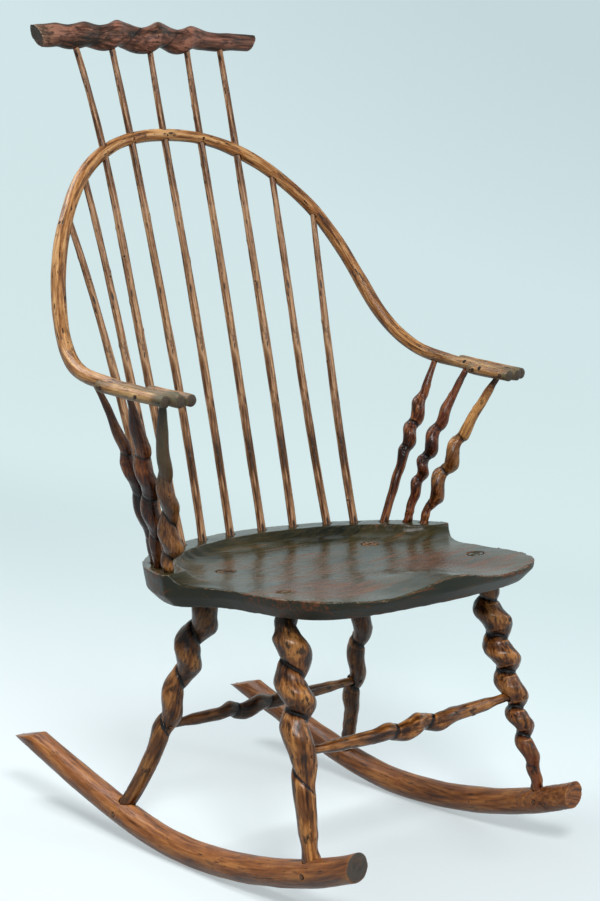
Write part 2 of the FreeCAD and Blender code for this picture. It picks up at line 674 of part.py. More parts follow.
def make_post(side_name, place_name):
    side = sides[side_name]
    form = post_forms[f"{side_name}_{place_name}"]
    foot = deck_point(side * form["angle"], spindle_start_depth)
    place = arm_place(side, form["arm_share"])
    middle_of_arm = hoop_curve.value(place)
    drop = hoop_radius(place) * post_top_share
    top = middle_of_arm - unit(middle_of_arm - foot) * drop
    points = bowed(foot, top, form, bulge_way)
    curve = curve_through(points)
    down = curve.tangent(curve.FirstParameter)[0] * -1
    top_way = curve.tangent(curve.LastParameter)[0]
    name = f"arm_post_{side_name}_{place_name}"
    foot_diameter = form["diameter"] * form["girth_shares"][0][1]
    top_diameter = form["diameter"] * form["girth_shares"][-1][1]
    foot_depth = post_socket_depth - spindle_start_depth
    top_depth = drop + post_top_depth
    body = winding_stem(points, form, bulge_way)
    foot_tenon = peg(foot, down, foot_diameter, foot_depth)
    top_tenon = peg(top, top_way, top_diameter, top_depth)
    pieces[name] = body.fuse([foot_tenon, top_tenon])
    add_cut("seat", socket(foot, down, foot_diameter, foot_depth))
    add_cut("hoop", socket(top, top_way, top_diameter, top_depth))


# Legs

leg_ends = {}


def make_leg(kind, side_name):
    side = sides[side_name]
    name = f"{kind}_leg_{side_name}"
    form = leg_forms[name]
    top = seat_place.multVec(Vector(side * form["half_spread"], -form["forward"], -seat_thickness))
    rocker_middle = rocker_point(form["foot_y"])
    foot_middle = Vector(side * rocker_half_spread, rocker_middle.y, rocker_middle.z)
    way = unit(foot_middle - top)
    inside_seat = seat_thickness * leg_start_share
    start = top - way * inside_seat
    foot = foot_middle - way * rocker_diameter * leg_foot_share
    points = bowed(start, foot, form, bulge_way)
    curve = curve_through(points)
    top_way = curve.tangent(curve.FirstParameter)[0]
    foot_way = curve.tangent(curve.LastParameter)[0]
    foot_diameter = form["diameter"] * form["girth_shares"][-1][1]
    foot_depth = rocker_diameter * (leg_foot_share + leg_foot_depth_share)
    body = winding_stem(points, form, bulge_way).cut(shoulder_block)
    root = start + top_way * (inside_seat + leg_tenon_root)
    tenon = peg(root, top_way * -1, leg_tenon_diameter, seat_thickness + 2 * leg_tenon_root)
    foot_tenon = peg(foot, foot_way, foot_diameter, foot_depth)
    pieces[name] = body.fuse([tenon, foot_tenon]).cut(above_seat)
    hole_diameter = leg_tenon_diameter + 2 * socket_gap
    add_cut("seat", peg(root, top_way * -1, hole_diameter, seat_thickness + overrun))
    rocker_name = f"rocker_{side_name}"
    add_cut(rocker_name, socket(foot, foot_way, foot_diameter, foot_depth))
    leg_ends[name] = (top, foot, curve)
    make_wedge(name, start + top_way * inside_seat, top_way)
    make_rocker_peg(name, rocker_name, foot_middle)


def make_wedge(name, top, way):
    # A thin wedge, driven into the leg's tenon from above and carved flush with the seat.
    turn = Rotation(left, unit(way.cross(left)), way * -1, "ZXY")
    slot_foot = top - way * (seat_thickness - wedge_depth)
    spread = wedge_thickness / 2 * seat_thickness / wedge_depth

    def blade(grow):
        low = Vector(-wedge_width / 2 - grow, 0, -grow)
        points = [low, low + Vector(0, spread + grow, seat_thickness),
                  low + Vector(0, -spread - grow, seat_thickness), low]
        solid = Part.Face(Part.makePolygon(points)).extrude(Vector(wedge_width + 2 * grow, 0, 0))
        solid.Placement = Placement(slot_foot, turn)
        return solid

    leg_wedges.append(blade(0.0).cut(above_seat))
    add_cut(name, blade(touch_gap))


def make_rocker_peg(name, rocker_name, foot_middle):
    length = rocker_diameter * rocker_peg_share
    start = foot_middle - left * length / 2
    rocker_pegs.append(peg(start, left, rocker_peg_diameter, length))
    hole = socket(start, left, rocker_peg_diameter, length)
    add_cut(name, hole)
    add_cut(rocker_name, hole)


# Stretchers


def make_stretcher(kind):
    name = f"{kind}_stretcher"
    form = stretcher_forms[name]
    middles = {}
    for side_name in sides:
        top, foot, curve = leg_ends[f"{kind}_leg_{side_name}"]
        height = top.z + (foot.z - top.z) * form["leg_share"]
        low, high = curve.FirstParameter, curve.LastParameter
        place = where_it_reaches(curve, lambda point: point.z, height, low, high)
        middles[side_name] = curve.value(place)
    inset = unit(middles["left"] - middles["right"]) * stretcher_tenon_depth
    points = bowed(middles["right"] + inset, middles["left"] - inset, form, up)
    curve = curve_through(points)
    body = winding_stem(points, form, up)
    tenon_diameter = form["diameter"] * form["girth_shares"][0][1]
    tenon_length = 2 * stretcher_tenon_depth
    ends = {"right": (points[0], curve.tangent(curve.FirstParameter)[0] * -1),
            "left": (points[-1], curve.tangent(curve.LastParameter)[0])}
    tenons = [peg(point, way, tenon_diameter, tenon_length) for point, way in ends.values()]
    pieces[name] = body.fuse(tenons)
    for side_name, (point, way) in ends.items():
        leg = f"{kind}_leg_{side_name}"
        add_cut(leg, socket(point, way, tenon_diameter, tenon_length, stretcher_socket_reach))
        add_stretcher_pin(name, leg, middles[side_name], tenon_diameter)


def add_stretcher_pin(stretcher, leg, middle, tenon_diameter):
    # A pin from the leg's front into the stretcher's tenon.
    probe = Part.makeLine(middle + front * overrun, middle).common(pieces[leg])
    surface_y = min(vertex.Y for vertex in probe.Vertexes)
    start = Vector(middle.x, surface_y, middle.z)
    length = middle.y - surface_y + tenon_diameter * stretcher_pin_share
    stretcher_pins.append(peg(start, front * -1, pin_diameter, length))
    hole = socket(start, front * -1, pin_diameter, length)
    add_cut(leg, hole)
    add_cut(stretcher, hole)


# Assembly

hoop_pins = []
leg_wedges = []
rocker_pegs = []
stretcher_pins = []
hand_nails = []

pieces["seat"] = make_seat()
pieces["hoop"] = make_hoop()
pieces["crest_rail"] = make_crest()
middle_index = len(spindle_angles) - 1
for index in range(middle_index + 1):
    make_spindle(index, -1, index + 1)
for index in range(middle_index):
    make_spindle(index, 1, 2 * middle_index + 1 - index)
for side_name, side in sides.items():
    for place_name in ("rear", "mid", "front"):
        make_post(side_name, place_name)
    pieces[f"rocker_{side_name}"] = make_rocker(side_name)
    make_leg("front", side_name)
    make_leg("rear", side_name)
    for kind in hand_piece_start_shares:
        make_hand_piece(side, side_name, kind)
make_stretcher("front")
make_stretcher("rear")

for name, shapes in cutters.items():
    pieces[name] = pieces[name].cut(shapes)

pieces["hoop_pins"] = Part.makeCompound(hoop_pins)
pieces["leg_wedges"] = Part.makeCompound(leg_wedges)
pieces["rocker_pegs"] = Part.makeCompound(rocker_pegs)
pieces["stretcher_pins"] = Part.makeCompound(stretcher_pins)
pieces["hand_piece_nails"] = Part.makeCompound(hand_nails)

os.makedirs("parts", exist_ok=True)
for name, shape in pieces.items():
    shape.exportStep(f"parts/{name}.step")
    print(name, len(shape.Solids), "solids", round(shape.Volume / 1000, 1), "cm3", shape.isValid())
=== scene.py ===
import math
import bmesh
import bpy
import numpy as np
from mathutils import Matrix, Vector


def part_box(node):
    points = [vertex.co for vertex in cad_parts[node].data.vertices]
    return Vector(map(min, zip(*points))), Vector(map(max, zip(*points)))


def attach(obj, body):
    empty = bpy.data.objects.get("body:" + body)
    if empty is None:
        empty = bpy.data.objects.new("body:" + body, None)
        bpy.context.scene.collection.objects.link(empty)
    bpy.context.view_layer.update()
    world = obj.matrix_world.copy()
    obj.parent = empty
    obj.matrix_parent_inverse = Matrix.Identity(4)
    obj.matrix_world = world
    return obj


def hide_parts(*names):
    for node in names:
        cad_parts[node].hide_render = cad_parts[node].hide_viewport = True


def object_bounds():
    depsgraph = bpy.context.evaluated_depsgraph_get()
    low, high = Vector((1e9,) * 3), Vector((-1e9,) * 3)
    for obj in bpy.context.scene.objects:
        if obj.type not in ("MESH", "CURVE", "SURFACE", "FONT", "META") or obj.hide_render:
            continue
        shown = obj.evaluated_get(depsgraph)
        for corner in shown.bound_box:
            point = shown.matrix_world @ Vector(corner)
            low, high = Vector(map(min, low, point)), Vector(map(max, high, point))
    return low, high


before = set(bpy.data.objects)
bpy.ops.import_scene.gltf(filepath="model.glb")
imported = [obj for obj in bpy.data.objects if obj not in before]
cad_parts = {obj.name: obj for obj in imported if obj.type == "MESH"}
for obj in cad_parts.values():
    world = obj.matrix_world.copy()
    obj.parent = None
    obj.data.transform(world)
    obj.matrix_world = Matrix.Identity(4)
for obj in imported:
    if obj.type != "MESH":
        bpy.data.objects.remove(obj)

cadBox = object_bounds()
photoRight = np.array([0.743, -0.669, 0.0])  # left to right across the photograph
upward = np.array([0.0, 0.0, 1.0])
scene = bpy.context.scene
print("frame loaded")


# carving: even copies of the CAD wood, and what is cut into them
def paint(red, green, blue):
    # a colour as the eye sees it, 0 to 255, as the light values a shader takes
    shares = [value / 255 for value in (red, green, blue)]
    return (*[s / 12.92 if s < 0.04 else ((s + 0.055) / 1.055) ** 2.4 for s in shares], 1.0)


def evenCopy(nodeName, faceSize):
    # a copy of a CAD node with small even faces all over
    shape = bmesh.new()
    shape.from_mesh(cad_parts[nodeName].data)
    bmesh.ops.remove_doubles(shape, verts=shape.verts, dist=0.00001)
    merged = bpy.data.meshes.new(nodeName + "_merged")
    shape.to_mesh(merged)
    shape.free()
    piece = bpy.data.objects.new(nodeName + "_wood", merged)
    scene.collection.objects.link(piece)
    remesh = piece.modifiers.new("evenFaces", "REMESH")
    remesh.mode = "VOXEL"
    remesh.voxel_size = faceSize
    remesh.use_smooth_shade = True
    depsgraph = bpy.context.evaluated_depsgraph_get()
    even = bpy.data.meshes.new_from_object(piece.evaluated_get(depsgraph))
    piece.modifiers.clear()
    piece.data = even
    bpy.data.meshes.remove(merged)
    even.name = nodeName + "_wood"
    return piece


def readPoints(mesh, what="co"):
    values = np.empty(len(mesh.vertices) * 3, np.float32)
    mesh.vertices.foreach_get(what, values)
    return values.reshape(-1, 3).astype(float)


def writePoints(mesh, points):
    low, high = (np.array(corner) for corner in cadBox)
    points = np.clip(points, low, high)
    mesh.vertices.foreach_set("co", points.astype(np.float32).ravel())
    mesh.update()


def keepValues(mesh, name, values):
    # a value for each point that the materials read
    kind, field = ("FLOAT_VECTOR", "vector") if values.ndim == 2 else ("FLOAT", "value")
    layer = mesh.attributes.new(name, kind, "POINT")
    layer.data.foreach_set(field, values.astype(np.float32).ravel())


def noiseAt(places, seed):
    # smooth random values from -1 to 1, in cells one unit wide
    # the large primes mix a cell's place and the seed into one value
    whole = np.floor(places).astype(np.int64)
    part = places - whole
    part = part * part * (3 - 2 * part)
    total = np.zeros(len(places))
    for corner in range(8):
        step = np.array([corner & 1, corner >> 1 & 1, corner >> 2 & 1])
        spot = whole + step
        mixed = spot[:, 0] * 73856093 ^ spot[:, 1] * 19349663 ^ spot[:, 2] * 83492791
        mixed = (mixed + seed * 7919) * 1274126177 & 0x7FFFFFFF
        mixed = (mixed ^ mixed >> 15) * 668265263 & 0x7FFFFFFF
        value = (mixed >> 8 & 0xFFFF) / 32767.5 - 1
        total += value * np.prod(np.where(step, part, 1 - part), axis=1)
    return total


def convexity(mesh, points, normals, rounds):
    # how far each point stands out from the smoothed surface round it
    edges = np.empty(len(mesh.edges) * 2, np.int32)
    mesh.edges.foreach_get("vertices", edges)
    first, second = edges.reshape(-1, 2).T
    count = len(points)
    held = np.bincount(first, minlength=count) + np.bincount(second, minlength=count)
    smooth = points.copy()
    for _ in range(rounds):
        for axis in range(3):
            row = smooth[:, axis]
            near = np.bincount(first, row[second], count) + np.bincount(second, row[first], count)
            smooth[:, axis] = (row + near / np.maximum(held, 1)) / 2
    return ((points - smooth) * normals).sum(1)


pointsAtOnce = 20000
sampleGap = 0.002
smoothReach = 9  # samples to each side that an unbent guide is smoothed over


def nearestSample(points, line):
    found = np.empty(len(points), np.int64)
    square = (line ** 2).sum(1)
    for start in range(0, len(points), pointsAtOnce):
        chunk = points[start:start + pointsAtOnce]
        found[start:start + pointsAtOnce] = np.argmin(square - 2 * chunk @ line.T, axis=1)
    return found


def middleLine(points, guide, bend):
    # samples along a guide, moved to the middle of the wood round them
    corners = np.array(guide, float)
    runs = np.concatenate([[0], np.cumsum(np.linalg.norm(np.diff(corners, axis=0), axis=1))])
    count = int(runs[-1] / sampleGap) + 1
    spots = np.linspace(0, runs[-1], count)
    line = np.stack([np.interp(spots, runs, corners[:, axis]) for axis in range(3)], 1)
    for _ in range(2):
        at = nearestSample(points, line)
        held = np.maximum(np.bincount(at, minlength=count), 1)
        middle = np.stack([np.bincount(at, points[:, axis], count) for axis in range(3)], 1)
        middle = middle / held[:, None]
        middle[0], middle[-1] = line[0], line[-1]
        if bend:
            share = np.linspace(-1, 1, count)
            line = np.stack([np.polyval(np.polyfit(share[3:-3], middle[3:-3, axis], bend), share)
                             for axis in range(3)], 1)
        else:
            reach = np.arange(-smoothReach, smoothReach + 1)
            weights = np.exp(-(2 * reach / smoothReach) ** 2)
            padded = np.pad(middle, ((smoothReach, smoothReach), (0, 0)), mode="reflect",
                            reflect_type="odd")
            line = np.stack([np.convolve(padded[:, axis], weights / weights.sum(), "valid")
                             for axis in range(3)], 1)
    return line


def placesOnStem(points, guide, bend, across):
    # each point's place along the stem, its turn round it and its two distances from the middle
    line = middleLine(points, guide, bend)
    along = np.gradient(line, axis=0)
    along /= np.linalg.norm(along, axis=1)[:, None]
    sideways = np.empty_like(line)
    lean = np.array(across, float)
    for row, way in enumerate(along):
        lean = lean - way * (lean @ way)
        lean = lean / np.linalg.norm(lean)
        sideways[row] = lean
    third = np.cross(along, sideways)
    at = nearestSample(points, line)
    runs = np.concatenate([[0], np.cumsum(np.linalg.norm(np.diff(line, axis=0), axis=1))])
    gap = points - line[at]
    ahead = (gap * along[at]).sum(1)
    side, back = (gap * sideways[at]).sum(1), (gap * third[at]).sum(1)
    return {"run": runs[at] + ahead, "length": runs[-1], "turn": np.arctan2(back, side),
            "out": np.hypot(side, back), "grain": np.stack([side, back, runs[at] + ahead], 1),
            "along": along[at]}


def wrapped(angle):
    return (angle + math.pi) % (2 * math.pi) - math.pi


groove = {"slit": 0.0014, "valley": 0.0065, "lipAway": 0.0065, "lipWidth": 0.0045,
          "darkLine": 0.0022, "darkEdge": 0.009, "wander": 0.0016, "leastRadius": 0.007}


def cutCreases(form, places):
    # a crease that winds round the stem opposite its bulges: how deep, and how near to it
    bulges = form["bulges"]
    near = form.get("near", 1)
    slant = form.get("slant", 0.3)
    last = len(bulges) - 1
    shares, angles = [], []
    extended = [2 * bulges[0] - bulges[1], *bulges, 2 * bulges[last] - bulges[last - 1]]
    for index, share in enumerate(extended):
        angle = (0 if form["first"] > 0 else math.pi) - math.pi * (index - 1) + math.pi
        leading = (round(angle / math.pi) % 2 == 1) == (near > 0)
        other = extended[min(index + 1, last + 2)] if leading else extended[max(index - 1, 0)]
        shares.append(share + slant * (other - share))
        angles.append(angle)
    share = places["run"] / places["length"]
    rate = (angles[-1] - angles[-2]) / (shares[-1] - shares[-2])

    def creaseTurn(at):
        inside = np.interp(at, shares, angles)
        return inside + rate * (np.maximum(at - shares[-1], 0) - np.maximum(shares[0] - at, 0))

    step = 0.004
    slope = (creaseTurn(share + step) - creaseTurn(share - step)) / (2 * step * places["length"])
    wander = groove["wander"] * noiseAt(places["grain"] * 70, form["seed"] + 5)
    away = wrapped(places["turn"] - creaseTurn(share))
    out = np.maximum(places["out"], groove["leastRadius"])
    away = away / np.sqrt(1 / out ** 2 + slope ** 2) + wander
    strength = np.interp(share, *zip(*form["fade"]))
    strength = strength * (1 + 0.3 * noiseAt(places["grain"] * 40, form["seed"] + 6))
    distance = np.abs(away)
    cut = 0.5 * np.exp(-distance / groove["slit"])
    cut = cut + 0.5 * np.exp(-(distance / groove["valley"]) ** 1.6)
    lip = np.exp(-((away - groove["lipAway"]) / groove["lipWidth"]) ** 2)
    moved = strength * (form["lip"] * lip - form["depth"] * cut)
    # how near each point is to the crease, which the materials darken as painted shade
    shown = 0.7 * np.exp(-distance / groove["darkLine"])
    shown = shown + 0.3 * np.exp(-distance / groove["darkEdge"])
    return moved * 0.001, np.clip(strength, 0, 1) * shown


def addKnots(knots, places):
    # small swellings with a dimple, left where a twig was cut off
    moved = np.zeros(len(places["run"]))
    shown = np.zeros(len(places["run"]))
    for share, turn, size, height in knots:
        ahead = places["run"] - share * places["length"]
        round_ = wrapped(places["turn"] - math.radians(turn)) * places["out"]
        square = (ahead ** 2 + round_ ** 2) / (size * 0.001) ** 2
        moved += height * 0.001 * (np.exp(-square) - 0.75 * np.exp(-square * 6))
        shown = np.maximum(shown, np.exp(-square * 3.5))
    return moved, shown


domeReach = 0.005  # how fast the rounding of an end fades along the stem
standsUnit = 0.0004  # a point that stands out by this much counts as 1


def carveStem(nodeName, form, look):
    # one stem: creases, knots, flutes and lumps cut into an even copy of its CAD wood
    piece = evenCopy(nodeName, look["faceSize"])
    mesh = piece.data
    points, normals = readPoints(mesh), readPoints(mesh, "normal")
    places = placesOnStem(points, form["line"], form.get("bend", 3), form.get("across", upward))
    count, seed = len(points), form["seed"]
    grain = places["grain"]
    random = np.random.default_rng(seed)
    knots = list(form.get("knots", []))
    for _ in range(form.get("strayKnots", 0)):
        knots.append((random.uniform(0.06, 0.94), random.uniform(-180, 180),
                      random.uniform(2.5, 4.0), random.uniform(0.5, 1.1)))
    moved, knotShown = addKnots(knots, places)
    creaseShown = np.zeros(count)
    if "bulges" in form:
        cut, creaseShown = cutCreases(form, places)
        moved += cut
    lump, flute = look["lump"], look["flute"]
    moved += 0.001 * lump * noiseAt(grain * [45, 45, 28], seed)
    moved += 0.001 * flute * noiseAt(grain * [210, 210, 22], seed + 1)
    moved += 0.0005 * flute * noiseAt(grain * [420, 420, 60], seed + 2)
    moved -= 0.0006 * (lump + flute)
    share = places["run"] / places["length"]
    points = points + normals * moved[:, None]
    dome = form.get("dome")
    if dome:
        for end, way in ((0, -1), (1, 1)):
            fromEnd = np.abs(places["run"] - end * places["length"])
            pull = 0.001 * dome["rise"] * (places["out"] / dome["radius"]) ** 2
            points -= places["along"] * (way * pull * np.exp(-fromEnd / domeReach))[:, None]
    writePoints(mesh, points)
    normals = readPoints(mesh, "normal")
    stands = convexity(mesh, points, normals, look.get("rounds", 14))
    stands = (stands - np.median(stands)) / standsUnit
    facing = np.abs((normals * places["along"]).sum(1))
    near = np.minimum(np.abs(share), np.abs(1 - share)) * places["length"]
    keepValues(mesh, "grain", grain)
    keepValues(mesh, "crease", creaseShown)
    keepValues(mesh, "knot", knotShown)
    keepValues(mesh, "stands", np.clip(stands, -2, 2))
    sawn = np.clip(facing * 2.5 - 1.2, 0, 1) * (near < form.get("sawnReach", 0.012))
    keepValues(mesh, "sawn", sawn)
    for table in ("weatherAndShade", "pale", "red"):
        rows = form.get(table, [(0, 0), (1, 0)])
        keepValues(mesh, table, np.interp(share, *zip(*rows)))
    return piece


def settle(piece, nodeName, slot, *materials):
    # the piece takes its node's place, body and finish
    piece.data.materials.clear()
    for material in materials:
        piece.data.materials.append(material)
    piece.data.shade_smooth()
    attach(piece, "root")
    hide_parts(nodeName)


# materials
def newNode(tree, kind, links=None, **settings):
    made = tree.nodes.new("ShaderNode" + kind)
    for name, value in settings.items():
        setattr(made, name, value)
    for socket, source in (links or {}).items():
        if isinstance(source, bpy.types.NodeSocket):
            tree.links.new(source, made.inputs[socket])
        else:
            made.inputs[socket].default_value = source
    return made


def calculate(tree, operation, first, second=0.5, clamp=False):
    node = newNode(tree, "Math", {0: first, 1: second}, operation=operation, use_clamp=clamp)
    return node.outputs[0]


def between(tree, value, low, high, start=0.0, end=1.0):
    # a soft step of a value between two levels
    node = newNode(tree, "MapRange", {"Value": value, "From Min": low, "From Max": high,
                                      "To Min": start, "To Max": end},
                   interpolation_type="SMOOTHSTEP")
    return node.outputs["Result"]


def blended(tree, share, under, over, way="MIX"):
    node = newNode(tree, "Mix", {0: share, 6: under, 7: over}, data_type="RGBA", blend_type=way)
    return node.outputs[2]


def stretched(tree, vector, scale, noiseScale, detail, roughness=0.55):
    placed = newNode(tree, "Mapping", {"Vector": vector, "Scale": scale})
    node = newNode(tree, "TexNoise", {"Vector": placed.outputs[0], "Scale": noiseScale,
                                      "Detail": detail, "Roughness": roughness})
    return node.outputs[0]


def startGroup(name, inputs, outputs):
    tree = bpy.data.node_groups.new(name, "ShaderNodeTree")
    for socket, kind, value in inputs:
        made = tree.interface.new_socket(socket, in_out="INPUT", socket_type="NodeSocket" + kind)
        if value is not None:
            made.default_value = value
    for socket in outputs:
        tree.interface.new_socket(socket, in_out="OUTPUT", socket_type="NodeSocketFloat")
    return tree, tree.nodes.new("NodeGroupInput").outputs


def endGroup(tree, results):
    end = tree.nodes.new("NodeGroupOutput")
    for name, source in results.items():
        tree.links.new(source, end.inputs[name])
    return tree


def makeGrainGroup():
    # streaks and fibres along a stem; Size makes them all larger
    tree, given = startGroup("stemGrain", [("Place", "Vector", None), ("Size", "Float", 1.0)],
                             ["Broad", "Streak", "Fibre", "Blotch"])
    scaled = newNode(tree, "VectorMath", {0: given["Place"], 3: given["Size"]}, operation="SCALE")
    place = scaled.outputs[0]
    return endGroup(tree, {
        "Broad": stretched(tree, place, (1, 1, 0.22), 55, 3),
        "Streak": stretched(tree, place, (1, 1, 0.07), 300, 5, 0.62),
        "Fibre": stretched(tree, place, (1, 1, 0.04), 1300, 3, 0.6),
        "Blotch": stretched(tree, place, (1, 1, 0.45), 120, 5, 0.62)})


def makeDashGroup():
    # short dark dashes, pores and checks along a stem
    tree, given = startGroup("stemDashes", [("Place", "Vector", None), ("Density", "Float", 0.3)],
                             ["Dash", "Check"])
    place = given["Place"]
    placed = newNode(tree, "Mapping", {"Vector": place, "Scale": (1, 1, 0.16)})
    cells = newNode(tree, "TexVoronoi", {"Vector": placed.outputs[0], "Scale": 260,
                                         "Randomness": 1.0})
    gate = stretched(tree, place, (1, 1, 0.5), 90, 2)
    reach = calculate(tree, "MULTIPLY", between(tree, gate, 0.42, 0.66), given["Density"])
    dash = calculate(tree, "SUBTRACT", reach, cells.outputs["Distance"])
    warped = stretched(tree, place, (1, 1, 0.018), 160, 2, 0.4)
    line = calculate(tree, "ABSOLUTE", calculate(tree, "SUBTRACT", warped, 0.5))
    check = between(tree, line, 0.0, 0.012, 1.0, 0.0)
    gate = between(tree, stretched(tree, place, (1, 1, 0.3), 40, 1), 0.5, 0.62)
    return endGroup(tree, {"Dash": between(tree, dash, 0.0, 0.12),
                           "Check": calculate(tree, "MULTIPLY", check, gate)})


# painted shade: darkens creases, crease slits and hollows, with the same dark over knots
def makeCreaseShadeGroup():
    # dirt that sits in creases, round knots and in hollows
    tree, given = startGroup("creaseShade", [("Place", "Vector", None), ("Crease", "Float", 0.0),
                                       ("Knot", "Float", 0.0), ("Stands", "Float", 0.0),
                                       ("Amount", "Float", 1.0)], ["Deep", "Soft"])
    breakUp = newNode(tree, "TexNoise", {"Vector": given["Place"], "Scale": 160, "Detail": 4})
    ragged = calculate(tree, "MULTIPLY", calculate(tree, "SUBTRACT", breakUp.outputs[0]), 0.5)
    crease = calculate(tree, "ADD", given["Crease"], ragged)
    deep = between(tree, crease, 0.50, 0.82)
    knot = between(tree, calculate(tree, "ADD", given["Knot"], ragged), 0.45, 0.75)
    deep = calculate(tree, "MAXIMUM", deep, knot)
    hollowShade = between(tree, calculate(tree, "ADD", given["Stands"], ragged), -0.25, -1.3)
    soft = calculate(tree, "MAXIMUM", between(tree, crease, 0.12, 0.7), hollowShade)
    return endGroup(tree, {"Deep": calculate(tree, "MULTIPLY", deep, given["Amount"], True),
                           "Soft": calculate(tree, "MULTIPLY", soft, given["Amount"], True)})


def makeRingGroup():
    # growth rings on a sawn end
    tree, given = startGroup("endRings", [("Place", "Vector", None)], ["Ring"])
    flat = newNode(tree, "Mapping", {"Vector": given["Place"], "Scale": (1, 1, 0)})
    far = newNode(tree, "VectorMath", {0: flat.outputs[0]}, operation="LENGTH")
    wobble = newNode(tree, "TexNoise", {"Vector": given["Place"], "Scale": 120, "Detail": 2})
    warped = calculate(tree, "ADD", calculate(tree, "MULTIPLY", far.outputs["Value"], 3200),
                       calculate(tree, "MULTIPLY", wobble.outputs[0], 6))
    wave = calculate(tree, "SINE", warped)
    return endGroup(tree, {"Ring": calculate(tree, "MULTIPLY_ADD", wave, 0.5)})


groups = {"grain": makeGrainGroup(), "dash": makeDashGroup(), "creaseShade": makeCreaseShadeGroup(),
          "ring": makeRingGroup()}


def useGroup(tree, name, links):
    made = tree.nodes.new("ShaderNodeGroup")
    made.node_tree = groups[name]
    for socket, source in links.items():
        if isinstance(source, bpy.types.NodeSocket):
            tree.links.new(source, made.inputs[socket])
        else:
            made.inputs[socket].default_value = source
    return made.outputs


def ramp(tree, value, stops):
    node = newNode(tree, "ValToRGB", {0: value})
    bar = node.color_ramp.elements
    while len(bar) < len(stops):
        bar.new(0.5)
    for element, (place, colour) in zip(bar, stops):
        element.position = place
        element.color = colour
    return node.outputs[0]


def fromPoints(tree, name):
    return newNode(tree, "Attribute", attribute_name=name)


redStain = paint(98, 44, 26)
# near-black painted shade for crease slits and knots
deepShade = paint(13, 8, 6)


